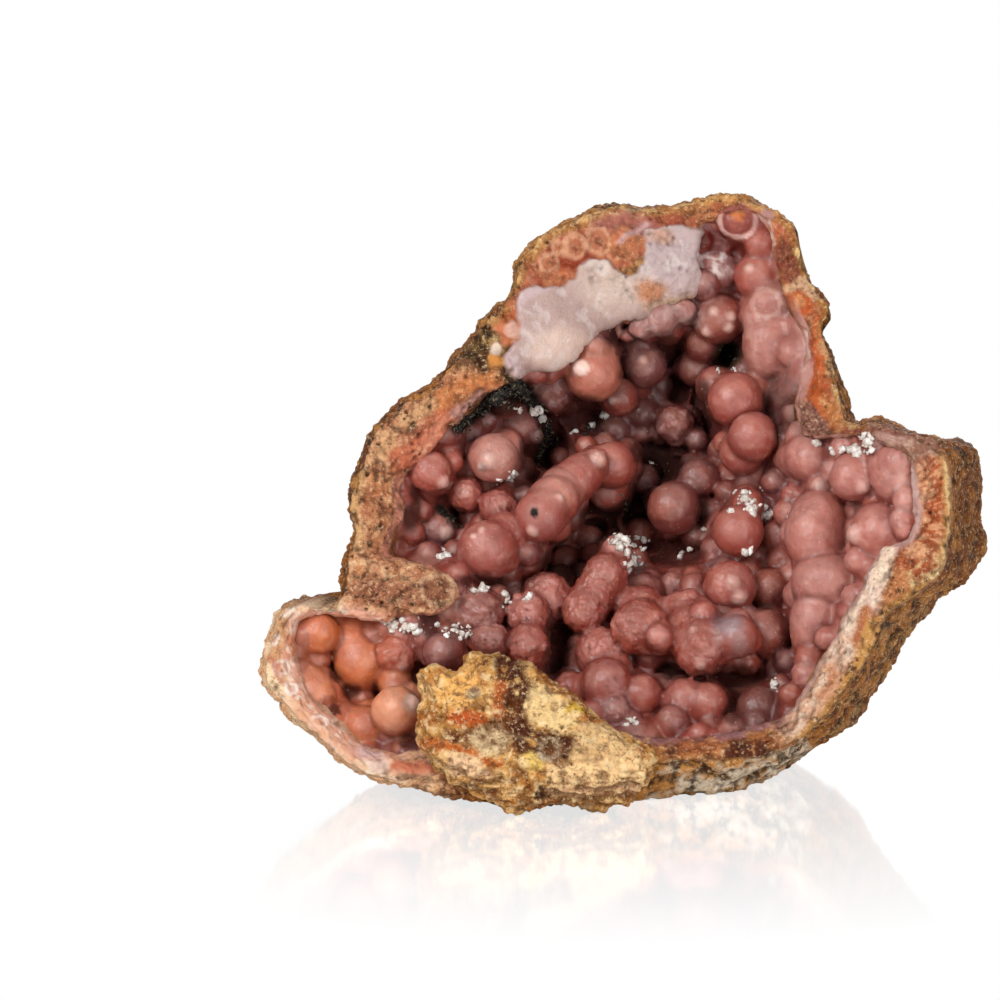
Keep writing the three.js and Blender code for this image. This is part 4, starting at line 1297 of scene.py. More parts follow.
# The layers of the broken face up to the white sheet.
LOBE_LAYERS = [
    # the upper lobe: orange and red agate under a golden crust
    ("b8644a", 0.7, 1, "lobe"),
    ("c87a50", 0.7, 1, "lobe", ("broad", 0.05, 0.4)),
    ("a84c36", 0.75, 1, "lobe", ("-broad", 0.1, 0.45)),
    ("b0543c", 0.85, 0.6, "lobe", "hearts"),
    ("e2b080", 0.6, 0.4, "lobe", "scallops"),
    ("dba88c", 0.7, 0.35, "lobe", ("fibres", 0.1, 0.4)),
    ("94402a", 0.75, 0.35, "lobe", ("-fibres", 0.1, 0.4)),
    ("b07a48", 0.0, 1, "lobe", ("edge", 9)),
    ("ddb27c", 0.0, 1, "lobe", ("edge", 6), ("small", -0.1, 0.3)),
    ("ab6a60", 0.7, 0.8, ("stroke", [(603, 224), (625, 216), (648, 226)], 20, 6)),
    ("a0553c", 0.5, 0.8, ("stroke", [(660, 218), (690, 220)], 12, 5)),
    ("983c24", 0.75, 1, ("stroke", [(556, 264), (590, 260)], 16, 5)),
    ("a5583a", 0.5, 0.7, ("stroke", [(525, 262), (560, 284), (610, 268)], 10, 4)),
    ("b4654a", 0.6, 0.8, ("stroke", [(515, 300), (528, 285)], 14, 5)),
    *[row for agate in LOBE_AGATES for row in lobe_agate(*agate)],
    ("b8704c", 0.4, 0.8, ("stroke", [(622, 250), (640, 243)], 18, 5)),
    ("c4905a", 0.3, 1, ("stroke", [(622, 274), (646, 262)], 10, 3)),
    ("c9a0a0", 0.7, 1, ("stroke", [(620, 240), (634, 231), (648, 224)], 5, 2)),
    # the cut stalactite at the top of the lobe
    ("b67a54", 0.2, 1, ("blob", 735, 210, 44, 18)),
    ("cf9c62", 0.0, 1, ("stroke", [(705, 200), (738, 193), (758, 205)], 11, 4)),
    ("b06a48", 0.3, 1, ("blob", 722, 211, 13, 9)),
    ("a86258", 0.8, 1, ("blob", 739, 224, 23, 21, 0.15)),
    ("d9aca0", 0.8, 1, ("ring", 739, 221, 21, 4), ("under", 216)),
    ("93504a", 0.8, 1, ("ring", 739, 221, 15, 3), ("under", 216)),
    ("c98450", 0.6, 1, ("blob", 739, 221, 9)),
    ("b58880", 0.8, 1, ("blob", 767, 215, 9, 7)),
    ("dcc0b8", 0.8, 1, ("stroke", [(767, 223), (766, 240), (770, 252), (775, 258)], 6, 2)),
    # down its right side: rust brown with orange gems
    ("8e4630", 0.5, 1, "right"),
    ("aa5e3c", 0.5, 1, "right", ("broad", 0.0, 0.3)),
    ("6e3020", 0.5, 1, "right", ("-broad", 0.15, 0.4)),
    ("c45c24", 0.85, 0.8, "right", "hearts"),
    ("d8a470", 0.3, 0.5, "right", "scallops"),
    ("d09468", 0.5, 0.5, "right", ("fibres", 0.1, 0.4)),
    ("7c3820", 0.5, 0.5, "right", ("-fibres", 0.1, 0.4)),
    ("a8743c", 0.0, 1, "right", ("edge", 6)),
    ("e6c690", 0.0, 1, "right", ("edge", 4), ("small", 0.0, 0.3)),
    ("7e3c2c", 0.6, 0.8, ("patch", [(776, 232), (800, 262), (806, 285), (786, 282), (772, 258)])),
    ("cfa888", 0.3, 1, ("stroke", [(785, 290), (800, 282), (812, 292)], 9, 3)),
    ("c05a28", 0.7, 1, ("blob", 797, 305, 15, 13)),
    ("dd9460", 0.7, 1, ("blob", 797, 303, 9, 8)),
    ("c46c3a", 0.6, 1, ("stroke", [(815, 343), (820, 362)], 22, 5)),
    ("b05a30", 0.6, 1, ("stroke", [(812, 380), (822, 395)], 20, 5)),
    ("bf7c4a", 0.3, 1, ("stroke", [(826, 403), (838, 420)], 16, 5)),
    ("bf5a24", 0.8, 0.85, ("stroke", [(800, 338), (806, 365), (811, 392), (819, 416)], 14, 4)),
    ("cba57c", 0.1, 0.75, "outer", ("small", -0.2, 0.2)),
    ("bd8a80", 0.9, 1, ("along", 14.5, 20), ("lip", 9)),
    ("e6c8be", 0.8, 1, ("stroke", [(776, 326), (795, 330), (806, 352)], 4, 2)),
    ("dfbcb0", 0.8, 1, ("stroke", [(790, 322), (804, 342), (804, 370)], 4, 2)),
    ("8f6258", 0.2, 1, ("patch", [(796, 404), (812, 400), (835, 436), (800, 436)])),
    ("b84e1a", 0.6, 0.8, ("stroke", [(813, 342), (818, 362)], 13, 4)),
    # the notch on the left of the lobe: olive grains and two orange gems
    ("6a4e2c", 0.0, 1, "notch"),
    ("a5865a", 0.0, 1, "notch", ("small", 0.0, 0.4)),
    ("33220f", 0.0, 1, "notch", ("-small", 0.1, 0.5)),
    ("3a2a16", 0.0, 0.8, ("stroke", [(470, 352), (512, 378)], 16, 6)),
    ("cf7a54", 0.8, 1, ("patch", [(497, 326), (512, 324), (512, 345), (500, 344)])),
    ("d08a44", 0.8, 1, ("blob", 496, 357, 8, 11)),
    ("ecd6c4", 0.8, 1, ("blob", 496, 349, 6, 5)),
    ("dcae9e", 0.8, 1, ("blob", 512, 330, 6, 9)),
    ("bb6038", 0.5, 1, ("blob", 508, 308, 12, 12), ("small", -0.2, 0.3)),
]
# The white sheet's underside, inside the lip, and painted shade in the throat behind its right end.
SHEET_UNDERSIDE = [("b0928c", 1.0, 1, "white", ("band", -0.3, -0.05))]
THROAT = [("701a10", 0.9, 0.9, ("blob", 717, 240, 20, 15, 0.4), ("-band", -0.02, 0.05))]
# The white and lilac sheet that hangs over the hollow.
SHEET_LAYERS = [
    ("c0a29a", 1.0, 1, "white"),
    ("b99c94", 1.0, 0.7, "white", ("stroke", [(535, 305), (600, 318), (650, 305)], 22, 8)),
    ("c4afb0", 0.8, 1, "white", ("blob", 668, 258, 40, 36, 0.5)),
    ("d0b9ae", 0.75, 1, "white", ("blob", 612, 283, 34, 26, 0.5)),
    ("dcc0b2", 1.0, 1, "white", ("blob", 560, 350, 32, 20, 0.4)),
    ("cdb2b2", 1.0, 1, "white", ("stroke", [(512, 372), (506, 355), (520, 300), (545, 290)], 8, 3)),
    ("e8dcda", 0.75, 0.4, "white", ("bloom", 0.1, 0.5)),
    ("c48a6c", 0.4, 1, "white", ("blob", 650, 290, 15, 11, 0.5)),
    ("c89c88", 0.5, 0.8, "white", ("blob", 660, 238, 14, 7, 0.5)),
    ("cdb09e", 0.4, 1, ("stroke", [(645, 306), (668, 301), (690, 297)], 9, 4), "white"),
]
# The layers from the sheet on, clockwise from the right arm.
REST_LAYERS = [
    # the right arm: a lilac lip, orange agate and a golden edge
    ("94695a", 0.4, 1, "arm_top"),
    ("bd9c8c", 0.4, 1, "arm_top", ("small", 0.0, 0.4)),
    ("c29a90", 0.8, 0.7, ("blob", 893, 436, 22, 9, 0.5)),
    ("7e4a3c", 0.3, 0.8, ("stroke", [(868, 426), (905, 432), (935, 440)], 9, 3)),
    ("b87450", 0.4, 1, "arm"),
    ("cd9470", 0.4, 1, "arm", ("broad", 0.0, 0.3)),
    ("b35e34", 0.5, 1, "arm", ("-broad", 0.15, 0.4)),
    ("e8b48c", 0.5, 0.6, "arm", ("streaks", 0.05, 0.3)),
    ("a84a20", 0.5, 0.6, "arm", ("-streaks", 0.05, 0.3)),
    ("7a3a1c", 0.3, 0.6, "arm", ("-small", 0.15, 0.4)),
    ("c09058", 0.1, 1, "arm", ("edge", 7)),
    ("dcb98c", 0.1, 1, "arm", ("edge", 3.5, 2)),
    ("d0aca4", 0.9, 1, "arm", ("lip", 7)),
    ("d2b4b2", 0.8, 0.8, ("stroke", [(905, 462), (911, 490), (917, 518)], 6, 2)),
    ("b98e88", 0.8, 0.7, ("stroke", [(917, 505), (905, 540), (890, 548)], 12, 5)),
    # the lower right rim: cream inside, orange, then gold
    ("b8794e", 0.2, 1, "low_right"),
    ("cf9c70", 0.2, 0.8, "low_right", ("broad", 0.0, 0.3)),
    ("80441e", 0.1, 0.6, "low_right", ("-small", 0.15, 0.4)),
    ("b08048", 0.0, 1, "low_right", ("edge", 9)),
    ("f0d8c6", 0.4, 1, ("stroke", [(880, 555), (867, 590), (852, 620), (840, 650)], 31, 4)),
    ("dcbab2", 0.6, 0.5, ("stroke", [(872, 590), (874, 606)], 14, 5)),
    ("e0b8a2", 0.4, 0.8, ("stroke", [(840, 648), (825, 678), (803, 708), (778, 728)], 29, 7)),
    ("f8eadd", 0.3, 0.6, "low_right", ("lip", 24, 8), ("small", 0.0, 0.25)),
    ("b06a46", 0.4, 1, ("stroke", [(868, 612), (856, 640)], 14, 5)),
    ("c0805c", 0.3, 0.8, ("stroke", [(835, 672), (822, 696)], 12, 5)),
    ("c49458", 0.1, 1, ("stroke", [(872, 625), (862, 655), (850, 680)], 12, 4)),
    ("ad5c38", 0.3, 1, ("stroke", [(905, 560), (925, 570)], 16, 5)),
    ("d0b88c", 0.0, 1, ("patch", [(905, 572), (935, 556), (948, 572), (915, 590)]),
     ("small", -0.1, 0.3)),
    ("b89088", 0.8, 1, "low_right", ("lip", 3)),
    # along the bottom: a mauve lip over orange-brown layers
    ("884e2c", 0.2, 1, "bottom"),
    ("a86c3e", 0.2, 1, "bottom", ("broad", 0.0, 0.3)),
    ("562612", 0.2, 1, "bottom", ("-broad", 0.1, 0.35)),
    ("97686a", 0.8, 1, "bottom", ("lip", 6)),
    ("d09c6a", 0.1, 0.6, "bottom", ("small", 0.25, 0.5)),
    ("46200f", 0.2, 0.7, ("stroke", [(668, 752), (715, 748), (760, 742)], 8, 3),
     ("-small", 0.0, 0.2)),
    ("b4663c", 0.4, 0.6, ("blob", 700, 745, 26, 8, 0.5)),
    ("cda487", 0.3, 1, "behind"),
    # the left pocket: cream crust outside, translucent pink within
    ("e6ac94", 0.85, 1, "pocket"),
    ("d48c6c", 0.85, 1, "pocket", ("broad", 0.0, 0.3)),
    ("eec2a4", 0.75, 1, "pocket", ("edge", 12, 5)),
    ("f0d2b0", 0.2, 1, "pocket", ("edge", 6, 4), ("small", -0.2, 0.2)),
    ("f8e2d4", 0.7, 0.7, "pocket", ("small", 0.1, 0.4)),
    ("c48a58", 0.2, 0.7, ("stroke", [(282, 618), (276, 645), (272, 662)], 14, 5)),
    ("cfa898", 0.5, 1, ("blob", 290, 604, 10, 6)),
    ("d2b4b4", 0.8, 0.8, ("stroke", [(350, 748), (375, 754)], 12, 4)),
    ("dcc0b6", 0.6, 0.8, ("blob", 378, 765, 8, 7)),
    ("cc7a5c", 0.7, 1, ("stroke", [(395, 765), (440, 768)], 12, 4)),
    ("fce0be", 0.2, 1, ("blob", 270, 682, 17, 20)),
    *[row for disc in POCKET_DISCS for row in pocket_disc(*disc)],
    ("b4563a", 0.7, 0.7, ("stroke", [(266, 655), (276, 668), (284, 684)], 6, 3)),
    ("e49c78", 0.7, 0.6, ("stroke", [(300, 715), (326, 738), (352, 752)], 16, 6)),
    # the tongue and the left wall: porous tan stone with red and orange stains
    ("c49070", 0.1, 1, "wall"),
    ("b67a5c", 0.1, 1, "wall", ("broad", 0.0, 0.3)),
    ("cf8e62", 0.1, 0.7, "wall", ("-broad", 0.1, 0.4)),
    ("e2bc98", 0.0, 0.7, "wall", ("small", 0.1, 0.5)),
    ("7c442c", 0.0, 0.7, "wall", ("-small", 0.25, 0.5)),
    ("b87a68", 0.4, 1, "wall", ("lip", 8)),
    ("8e5a48", 0.1, 0.7, ("stroke", [(360, 590), (400, 596), (440, 592)], 26, 8)),
    ("94624a", 0.1, 0.85, ("blob", 437, 590, 20, 16)),
    ("cba68c", 0.1, 0.8, ("ring", 437, 590, 16, 4)),
    ("7e4a3a", 0.1, 0.6, ("ring", 437, 590, 10, 4)),
    ("c0664a", 0.6, 0.85, ("stroke", [(402, 462), (425, 440), (450, 412)], 26, 7)),
    ("c87c48", 0.4, 0.85, ("stroke", [(440, 400), (470, 384), (490, 380)], 22, 7)),
    ("a8683c", 0.1, 0.4, ("stroke", [(372, 500), (378, 545)], 18, 6)),
    ("dc9478", 0.6, 0.7, ("stroke", [(420, 452), (440, 426), (462, 408)], 10, 4)),
    ("b98a80", 0.6, 1, ("stroke", [(455, 415), (480, 398)], 12, 4)),
    ("b0683f", 0.2, 0.5, ("blob", 380, 482, 7, 16)),
    ("d4ac7c", 0.0, 0.8, ("stroke", [(362, 470), (352, 510), (356, 545)], 12, 4)),
    ("d8b088", 0.0, 0.7, ("stroke", [(378, 452), (402, 424), (430, 404)], 12, 5)),
    ("3c2014", 0.0, 1, "wall", ("-pores", -0.16, -0.04)),
    ("17130c", 0.0, 1, ("stroke", BLACK_BAND, 13, 4)),
]


def paint_rim(paint, band, spot, face, width):
    """Paint the broken face, from the lip at band 0 to its outer edge at band 1.

    The shares of the white sheet and of the agate domes come back, for the relief.
    """
    points = paint.points
    small = waves(points, 1.5, shift=13.0)
    wander = 3.0 * waves(points, 3.0, shift=17.0)
    fibres = waves(np.column_stack([8.0 * spot, 1.6 * band, 0 * band]), 1.0)
    agates = cells(points, 3.6, shift=41.0)
    from_edge = (1 - band) * width + wander

    def strip(away):
        return lambda wide, soft=3.0: 1 - smoothstep(away, wide - soft, wide + soft)

    paint.fields.update({
        "along": lambda first, last: along(spot, first, last),
        "edge": strip(from_edge),
        "lip": strip(band * width + wander),
        "band": band, "small": small, "fibres": fibres, "streaks": fibres + 0.8 * small,
        "broad": waves(points, 5.0, shift=3.0),
        "bloom": waves(points, 2.0, shift=29.0),
        "scallops": 1 - smoothstep(agates[:, 1] - agates[:, 0], 0.03, 0.13),
        "hearts": 1 - smoothstep(agates[:, 0] + 0.1 * small, 0.12, 0.38),
        "pores": cells(points, 2.1, shift=2.0)[:, 0] + 0.12 * waves(points, 1.0, 2, shift=4.0),
    })
    paint.name_areas(RIM_AREAS)
    lobe = np.maximum(along(spot, -1, 20), paint.fields["lobe_end"])
    paint.fields["lobe"] = lobe
    for rows, over in ((LOBE_LAYERS, face), (SHEET_UNDERSIDE, 1), (SHEET_LAYERS, face),
                       (THROAT, 1), (REST_LAYERS, face)):
        paint.layers(rows, over)
    white = paint.fields["white"]
    domes = (0.4 - np.minimum(agates[:, 0], 0.8)) * np.maximum(lobe, 0.7 * paint.fields["right"])
    return white * face, domes * (1 - white) * face * smoothstep(from_edge, 3, 9)


KNOB_TONE = "cc9c58"
KNOB_GROUND = [
    ("e6bf84", 1, ("broad", 0.0, 0.4)),
    ("a8692e", 1, ("-broad", 0.15, 0.5)),
    ("b4702c", 0.6, ("rusty", 0.12, 0.4)),
]
# The marks on the side of the knob that faces the viewer.
KNOB_MARKS = [
    ("f4d9a4", 1, ("patch", [(518, 676), (545, 684), (566, 704), (578, 724), (556, 736),
     (530, 722), (516, 700)])),
    ("4a1c04", 1, "vein"),
    ("6e3a14", 1, ("stroke", [(512, 716), (480, 738), (446, 736)], 13, 5), "speckled"),
    ("b05e28", 1, ("stroke", [(500, 686), (498, 712)], 12, 4)),
    ("f4c074", 1, ("patch", [(440, 676), (478, 672), (488, 705), (455, 712), (436, 700)])),
    ("a8967c", 1, ("blob", 474, 694, 9, 6)),
    ("bf5c24", 1, ("stroke", [(455, 718), (482, 720)], 14, 5)),
    ("c46a28", 1, ("stroke", [(425, 742), (455, 748), (498, 764)], 9, 3)),
    ("c8b494", 1, ("blob", 490, 740, 20, 14)),
    ("ecd07a", 1, ("blob", 532, 762, 12, 9)),
    ("b9ab98", 1, ("ring", 550, 750, 9, 6)),
    ("4a3a28", 1, ("blob", 550, 745, 5)),
    ("d8b440", 1, ("blob", 577, 708, 10, 7)),
    ("a8682c", 1, ("stroke", [(540, 668), (566, 690), (585, 705)], 9, 3)),
    ("e2c090", 1, ("patch", [(580, 722), (606, 722), (640, 752), (640, 768), (570, 760)])),
    ("fcdcac", 1, ("patch", [(545, 764), (640, 758), (650, 790), (548, 800)])),
    ("d9b49a", 0.7, ("stroke", [(560, 790), (640, 790)], 8, 3)),
    ("f8d6b4", 1, ("patch", [(445, 752), (480, 760), (495, 778), (450, 776)])),
    ("5c4628", 1, ("stroke", [(560, 800), (620, 797)], 5, 2)),
    ("7c5a34", 1, ("stroke", [(465, 786), (500, 780)], 7, 3)),
    ("2e1c10", 1, ("blob", 540, 794, 8, 8)),
    ("a37c46", 0.5, ("y", 758, 775), ("layers", 0.4, 0.9)),
    ("f0dcb4", 1, ("small", 0.2, 0.5), "off_vein"),
    ("6b4423", 0.7, ("-small", 0.25, 0.5)),
]


def paint_knob(paint):
    """Crumbly ochre, cream and brown rind, in layers towards the foot."""
    points = paint.points
    broad = waves(points, 4.0, shift=5.0)
    speckled = smoothstep(waves(points, 1.6, shift=51.0), -0.7, -0.3)
    vein = paint.stroke([(506, 660), (517, 690), (510, 717), (530, 744), (566, 748)], 28, 6)
    paint.fields.update({
        "broad": broad, "small": waves(points, 1.3, shift=15.0),
        "rusty": waves(points, 2.2, shift=61.0),
        "speckled": speckled, "vein": vein * speckled, "off_vein": 0.7 - 0.6 * vein * speckled,
        "layers": np.sin(paint.y * 0.9 + 2.5 * broad),
    })
    paint.layers(KNOB_GROUND)
    paint.layers(KNOB_MARKS, paint.depth < 6)


LIT_SIDE = np.array([-0.22, 0.34, -0.91])  # towards the lamps: to the left, up and forward; lumps are painted lighter on this side and a painted shade of deeper red on the sides turned from it
CLEAR_LUMP = (716, 270)  # the glassy one under the right end of the white sheet
# Named places in the hollow.
CRUST_AREAS = {
    "pocket": [("blob", 325, 660, 75, 75, 0.5)],
    "low_left": [("blob", 540, 640, 110, 75, 0.6)],
    "column": [("blob", 772, 330, 30, 54, 0.3), ("nearer", 38.5, 41)],
    "cut": [("disc", 738, 218, 25), ("nearer", 38.5, 41)],
    # the deep recess under the lip at the top right, painted with shade
    "corner": [("blob", 728, 243, 42, 17, 0.3), ("depth", 38.5, 41)],
    "under_sheet": [("blob", 596, 372, 30, 30, 0.2), ("nearer", 35, 37)],
    "fringe": [("blob", 660, 320, 40, 22, 0.4), ("nearer", 39.5, 41.5)],
}
CRUST_LAYERS = [
    ("97605b", 0.4, ("broad", 0.0, 0.5)),
    ("b25c46", 0.4, ("-broad", 0.0, 0.5)),
    # painted light and shade: each lump lighter on its side towards the lamps, deeper red on its
    # sides turned away
    ("d8a494", 0.28, ("tip", 0.5, 0.98)),
    ("84342a", 0.48, ("-facing", -0.6, 0.1)),
    ("a05a4c", 0.2, "growth"),
    ("dcb0a0", 0.18, ("small", 0.2, 0.5)),
    ("8a4438", 0.18, ("-small", 0.25, 0.5)),
    # painted shade: darker in the creases between the lumps, and darker the deeper in the hollow
    ("6c2a20", 0.55, "crease"),
    ("57302e", 0.55, ("depth", 38, 48)),
    ("d67e4c", 0.35, "pocket"),
    # painted shade in the creases of the pocket
    ("7a2c14", 0.5, "pocket", "crease"),
    ("3a1814", 0.6, 0.8, "specks", "low_left"),
    ("9a9196", 0.7, ("blob", 729, 624, 14, 13, 0.8), ("nearer", 15, 19)),
    ("8a7674", 0.5, ("blob", 740, 646, 9, 10, 0.8), ("nearer", 15, 19)),
    ("5e322d", 0.6, ("blob", 756, 706, 25, 22, 0.3), ("before", 19)),
    ("b47c70", 0.6, "column"),
    ("dcb8ac", 0.5, "column", ("ring", 766, 304, 14, 4)),
    ("d2a598", 0.5, "column", ("stroke", [(748, 318), (751, 345), (758, 372)], 6, 3)),
    # painted shade, darker deeper in the middle of the hollow
    ("64302a", 0.35, ("blob", 686, 492, 42, 46, 0.4), ("depth", 28, 33)),
    ("d8aca0", 0.45, ("blob", 905, 488, 10, 28, 0.4), ("before", 12)),
    ("f4b48c", 0.55, ("blob", 390, 706, 17, 17, 0.6), ("before", 13)),
    ("b09a90", 0.7, ("blob", 412, 703, 10, 10, 0.4), ("nearer", 9, 12)),
    ("180a07", 0.3, 1, ("blob", 535, 513, 5), ("nearer", 20, 23)),
    ("9c6f6c", 0.5, "clear"),
    ("e2d8d2", 0.85, "clear", ("blob", 714, 263, 17, 14, 0.5), ("small", -0.2, 0.1)),
    ("a25a4c", 0.9, 1, "cut"),
    ("e0bab2", 0.9, 1, "cut", ("ring", 738, 218, 19, 4)),
    ("8e4a44", 0.9, 0.8, "cut", ("ring", 738, 219, 13, 3)),
    ("cf7c40", 0.7, 1, "cut", ("blob", 738, 215, 8, 6), ("small", -0.4, 0.0)),
    ("14100a", 0.0, 1, ("stroke", BLACK_BAND, 15, 4)),
    ("26221a", 0.0, 1, ("stroke", [(440, 508), (460, 525)], 9, 3)),
    ("0e0a07", 0.0, 1, ("blob", 518, 392, 18, 14)),
    # painted shade over the lump under the black band
    ("26100c", 0.1, 0.85, ("blob", 503, 407, 18, 10)),
    # painted shade in the deep recess behind the lip at the top right
    ("6e221a", 0.8, 0.8, "corner"),
    ("5e160e", 0.8, 0.9, ("blob", 714, 241, 16, 11, 0.3)),
    ("cc8468", 0.5, "under_sheet"),
    ("c49484", 0.45, ("blob", 494, 455, 24, 24, 0.3), ("nearer", 25, 27)),
    ("7c7470", 0.7, ("blob", 484, 467, 5, 4, 0.4), ("nearer", 24, 26)),
    ("dca898", 0.45, ("blob", 558, 489, 22, 18, 0.6), ("nearer", 25, 27)),
    ("a07a74", 0.75, "fringe"),
    ("cbb0a8", 0.5, "fringe", ("small", 0.0, 0.3)),
]
# What lies over the pale nipples: a painted highlight on the bright nipple under the white sheet,
# and painted shade in the dark gaps, near black in the black gaps.
GAP_LAYERS = [
    # the bright nipple under the white sheet: its pale tone with a painted highlight
    ("f4e2d6", 0.8, ("blob", 580, 367, 9, 8, 0.2), ("nearer", 34, 36)),
    # painted shade in the dark gaps, near black in the black gaps, spared on the lit fronts of the
    # shown lumps
    ("3c1812", 0.1, 0.8, "gap", "open"),
    *[("140805", 0.1, 0.6, ("blob", *gap, 0.4), "open") for gap in BLACK_GAPS],
    ("33261a", 0.0, 1, ("blob", 728, 355, 15, 14, 0.4)),
    ("86625c", 0.3, 0.7, ("blob", 782, 388, 16, 16, 0.4)),
    ("8a665a", 0.2, 0.7, ("blob", 806, 420, 18, 18, 0.4)),
]


def paint_crust(paint, balls, nearest, crease, shown):
    """Waxy lumps, painted lighter on the side towards the lamps and with a painted shade of deeper
    red on the sides turned away, with painted shade in the creases between them, in the depths and
    in the dark gaps.
    """
    points = paint.points
    paint.wax[:] = 1
    flat = flattened(on_sheet(points))
    own = balls[nearest]
    paint.colour = np.array([linear(tone) for tone in TONES])[own[:, 4].astype(int)]
    away = (flat - flattened(own[:, [0, 1, 3]])) / (own[:, 2] * UNIT)[:, None]
    # how far each point of a lump faces the lamps, for its painted light and shade
    facing = away @ (LIT_SIDE / np.linalg.norm(LIT_SIDE))
    small = waves(points, 1.6, shift=33.0)
    grown = 0.5 + 0.12 * np.sin(5.0 * own[:, 0] + 3.0 * own[:, 1])
    from_ring = np.abs(np.arccos(np.clip(facing, -1, 1)) - grown)
    paint.fields.update({
        "small": small, "broad": waves(points, 6.0, 2, shift=21.0),
        "facing": facing, "tip": facing + 0.06 * small, "crease": crease,
        "growth": 1 - smoothstep(from_ring, 0.03, 0.1),
        "specks": holes(points, 1.5, 45.0, 0.22, 0.12),
        "clear": nearest == [row[:2] for row in LUMPS].index(CLEAR_LUMP),
        "gap": gap_share(paint.x, paint.y),
        # where the painted shade of the gaps may fall: all but the lit fronts of the shown lumps
        "open": 1 - np.where(nearest < shown, smoothstep(facing, 0.0, 0.6), 0),
    })
    paint.name_areas(CRUST_AREAS)
    paint.layers(CRUST_LAYERS)
    # the pale nipples: their own paler tone, and in part a painted highlight
    for x, y, radius in NIPPLES:
        tip = flattened(np.array([x, y, nipple_depth(x, y, radius)]))
        far = np.linalg.norm(flat - tip, axis=1) / (radius * UNIT)
        paint.lay((1 - smoothstep(far, 0.75, 1.2)) * 0.8, "ecd2c6")
    paint.layers(GAP_LAYERS)


def crumbs(route_spots, chance, balls, sizes, stretch, sunk, spread, fineness):
    """Small broken grains on the crust around spots of the sheet, as points and triangles, and
    how many points each has."""
    ball = bmesh.new()
    bmesh.ops.create_icosphere(ball, subdivisions=fineness, radius=1)
    shape = np.array([vertex.co[:] for vertex in ball.verts])
    sides = np.array([[vertex.index for vertex in face.verts] for face in ball.faces])
    ball.free()
    points, faces = [], []
    for x, y, across, up in route_spots:
        for _ in range(max(3, int(across * up / spread))):
            px, py = x + chance.normal(0, across / 2.6), y + chance.normal(0, up / 2.6)
            depth = surface_depth(px, py, balls) - sunk
            middle = placed(np.array([px, py, depth]))
            turn = np.linalg.qr(chance.normal(0, 1, (3, 3)))[0]
            size = mix(*sizes, chance.random() ** 2)
            size = size * np.array([stretch, 1, chance.uniform(0.5, 1)])
            body = shape * size * chance.uniform(0.6, 1.3, (len(shape), 1))
            faces.append(sides + len(shape) * len(points))
            points.append(middle + body @ turn.T)
    return np.concatenate(points), np.concatenate(faces), len(shape)


def surface_depth(x, y, balls):
    """How deep the crust's surface lies at a spot of the sheet."""
    away = np.hypot(balls[:, 0] - x, balls[:, 1] - y)
    hit = away < balls[:, 2]
    fronts = balls[hit, 3] - np.sqrt(balls[hit, 2] ** 2 - away[hit] ** 2) * UNIT
    return min([ground_at(x, y), *fronts.tolist()])


# Each kind of grain: smallest and largest size in mm, how much longer than wide, how deep it sits
# in mm, square units of the sheet for each, and how finely it is made.
GRAIN = {"sizes": (0.18, 0.8), "stretch": 1.2, "sunk": 0.1, "spread": 7, "fineness": 2}
TUFT = {"sizes": (0.07, 0.26), "stretch": 2.4, "sunk": 0.15, "spread": 2.6, "fineness": 1}


def dress_crumbs(balls):
    chance = np.random.default_rng(19)
    route = along_route(BLACK_BAND, 46)
    band = [(x, y, 7 + 4 * math.sin(2.3 * k), 8) for k, (x, y) in enumerate(route)]
    kinds = [("white_grains", WHITE_GRAINS, GRAIN, "ddd5cc", "fbf8f4", 1, ("white_druse", 0.6)),
             ("black_moss", band + MOSS, TUFT, "120e09", "a0967c", 7, ("black_moss", 0.75))]
    for name, spots, kind, dark, pale, rarity, material in kinds:
        points, faces, each = crumbs(spots, chance, balls, **kind)
        shade = chance.uniform(0, 1, (len(points) // each, 1)).repeat(each, axis=0)
        fields = {"tint": mix(linear(dark), linear(pale), shade ** rarity)}
        make_piece(name, points, faces, fields, grain_material(*material), None)


def along_route(route, count):
    """Evenly shared points along an open route."""
    route = np.array(route, dtype=float)
    steps = np.linalg.norm(np.diff(route, axis=0), axis=1)
    travelled = np.concatenate([[0], np.cumsum(steps)])
    wanted = np.linspace(0, travelled[-1], count)
    return np.stack([np.interp(wanted, travelled, route[:, k]) for k in (0, 1)], axis=1).tolist()


# ---------------------------------------------------------------- the stage

STUDIO_FILL = 0.27  # the studio's strength as light on things
FLOOR_HALF = 3.0  # metres

def aim(thing, target):
    thing.rotation_euler = (Vector(target) - thing.location).to_track_quat("-Z", "Y").to_euler()


def area_light(name, place, target, size, watts, colour=(1, 1, 1)):
    data = bpy.data.lights.new(name, "AREA")
    data.energy = watts
    data.size = size
    data.color = colour
    light = bpy.data.objects.new(name, data)
    light.location = place
    bpy.context.scene.collection.objects.link(light)
    aim(light, target)


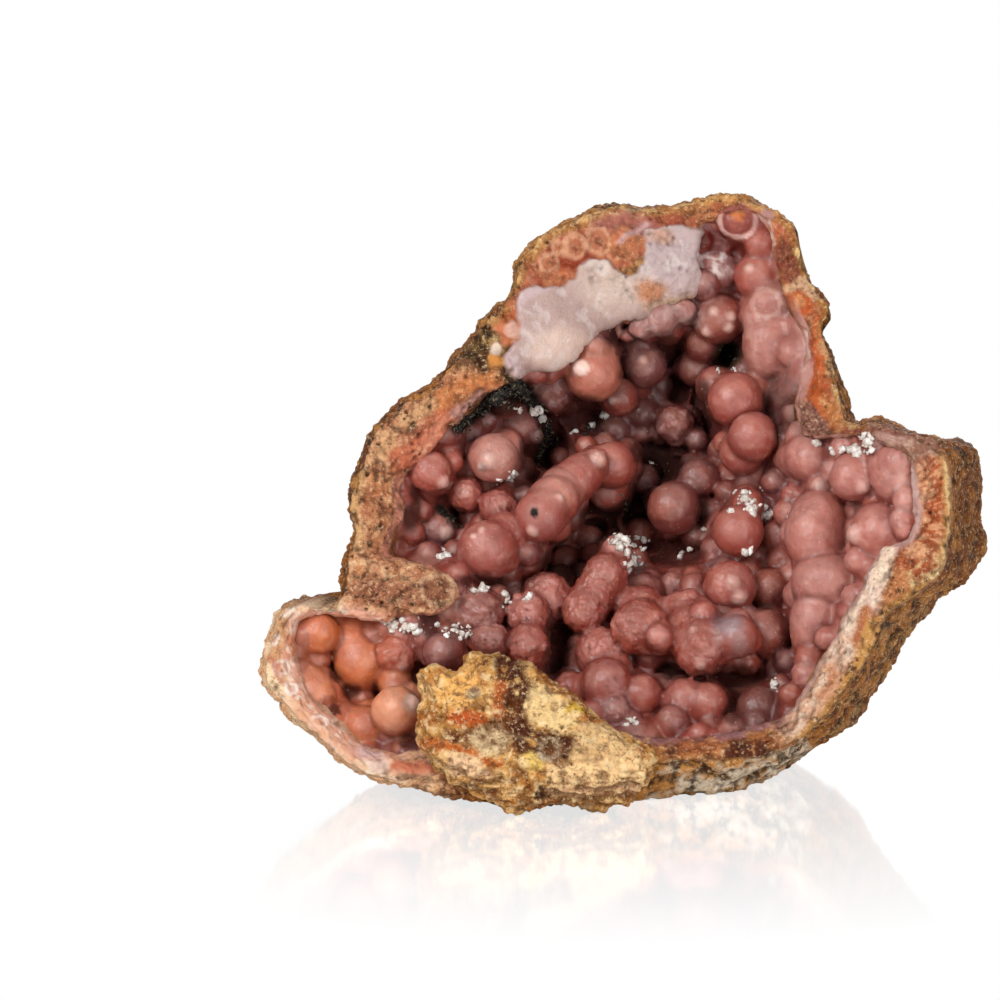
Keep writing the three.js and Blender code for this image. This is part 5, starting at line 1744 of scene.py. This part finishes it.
def white_studio():
    """A white world: bright to the camera, dimmer in reflections, dimmest as light on things."""
    world = bpy.data.worlds.new("studio")
    world.use_nodes = True
    tree = world.node_tree
    tree.nodes.clear()
    path = tree.nodes.new("ShaderNodeLightPath")
    out = tree.nodes.new("ShaderNodeOutputWorld")
    backgrounds = []
    for strength in (1.0, 1 / GLOSS_GAIN, STUDIO_FILL):
        background = tree.nodes.new("ShaderNodeBackground")
        background.inputs["Strength"].default_value = strength
        background.inputs["Color"].default_value = (1, 1, 1, 1)
        backgrounds.append(background.outputs[0])
    chosen = backgrounds[0]
    for kind, background in zip(("Is Glossy Ray", "Is Diffuse Ray"), backgrounds[1:]):
        mixed = tree.nodes.new("ShaderNodeMixShader")
        tree.links.new(path.outputs[kind], mixed.inputs[0])
        tree.links.new(chosen, mixed.inputs[1])
        tree.links.new(background, mixed.inputs[2])
        chosen = mixed.outputs[0]
    tree.links.new(chosen, out.inputs["Surface"])
    return world


def place_camera(scene):
    """The camera looks squarely at the middle of the drawing sheet, from EYE away."""
    sight = Vector((0, math.cos(LEAN), -math.sin(LEAN)))
    target = Vector((placed([SHEET_MIDDLE, SHEET_MIDDLE, 0]) * MM).tolist())
    data = bpy.data.cameras.new("camera")
    data.sensor_width = 36
    data.lens = data.sensor_width * EYE / (2 * SHEET_MIDDLE * UNIT)
    data.clip_start = 0.01
    camera = bpy.data.objects.new("camera", data)
    camera.location = target - sight * EYE * MM
    camera.rotation_euler = sight.to_track_quat("-Z", "Y").to_euler()
    scene.collection.objects.link(camera)
    scene.camera = camera


def stage():
    """The studio, the floor, three lamps and the camera."""
    scene = bpy.context.scene
    scene.view_settings.view_transform = "Standard"
    scene.world = white_studio()

    floor_mesh = bpy.data.meshes.new("floor")
    half = FLOOR_HALF
    floor_mesh.from_pydata([(-half, -half, 0), (half, -half, 0), (half, half, 0), (-half, half, 0)],
                           [], [(0, 1, 2, 3)])
    floor = bpy.data.objects.new("floor", floor_mesh)
    floor_mesh.materials.append(floor_material())
    scene.collection.objects.link(floor)

    middle = (0, 0, 0.04)
    area_light("key", (-0.4, -0.6, 0.55), middle, 0.45, 6.1)
    area_light("fill", (0.45, -0.8, 0.2), middle, 0.45, 3.3)
    area_light("back", (0.25, 0.8, 0.5), middle, 0.5, 3.0)
    place_camera(scene)


stage()
stone = stone_material()
chalcedony = chalcedony_material()
dress_rim(stone)
dress_back(stone)
dress_knob(stone)
balls = dress_crust(chalcedony)
dress_crumbs(balls)
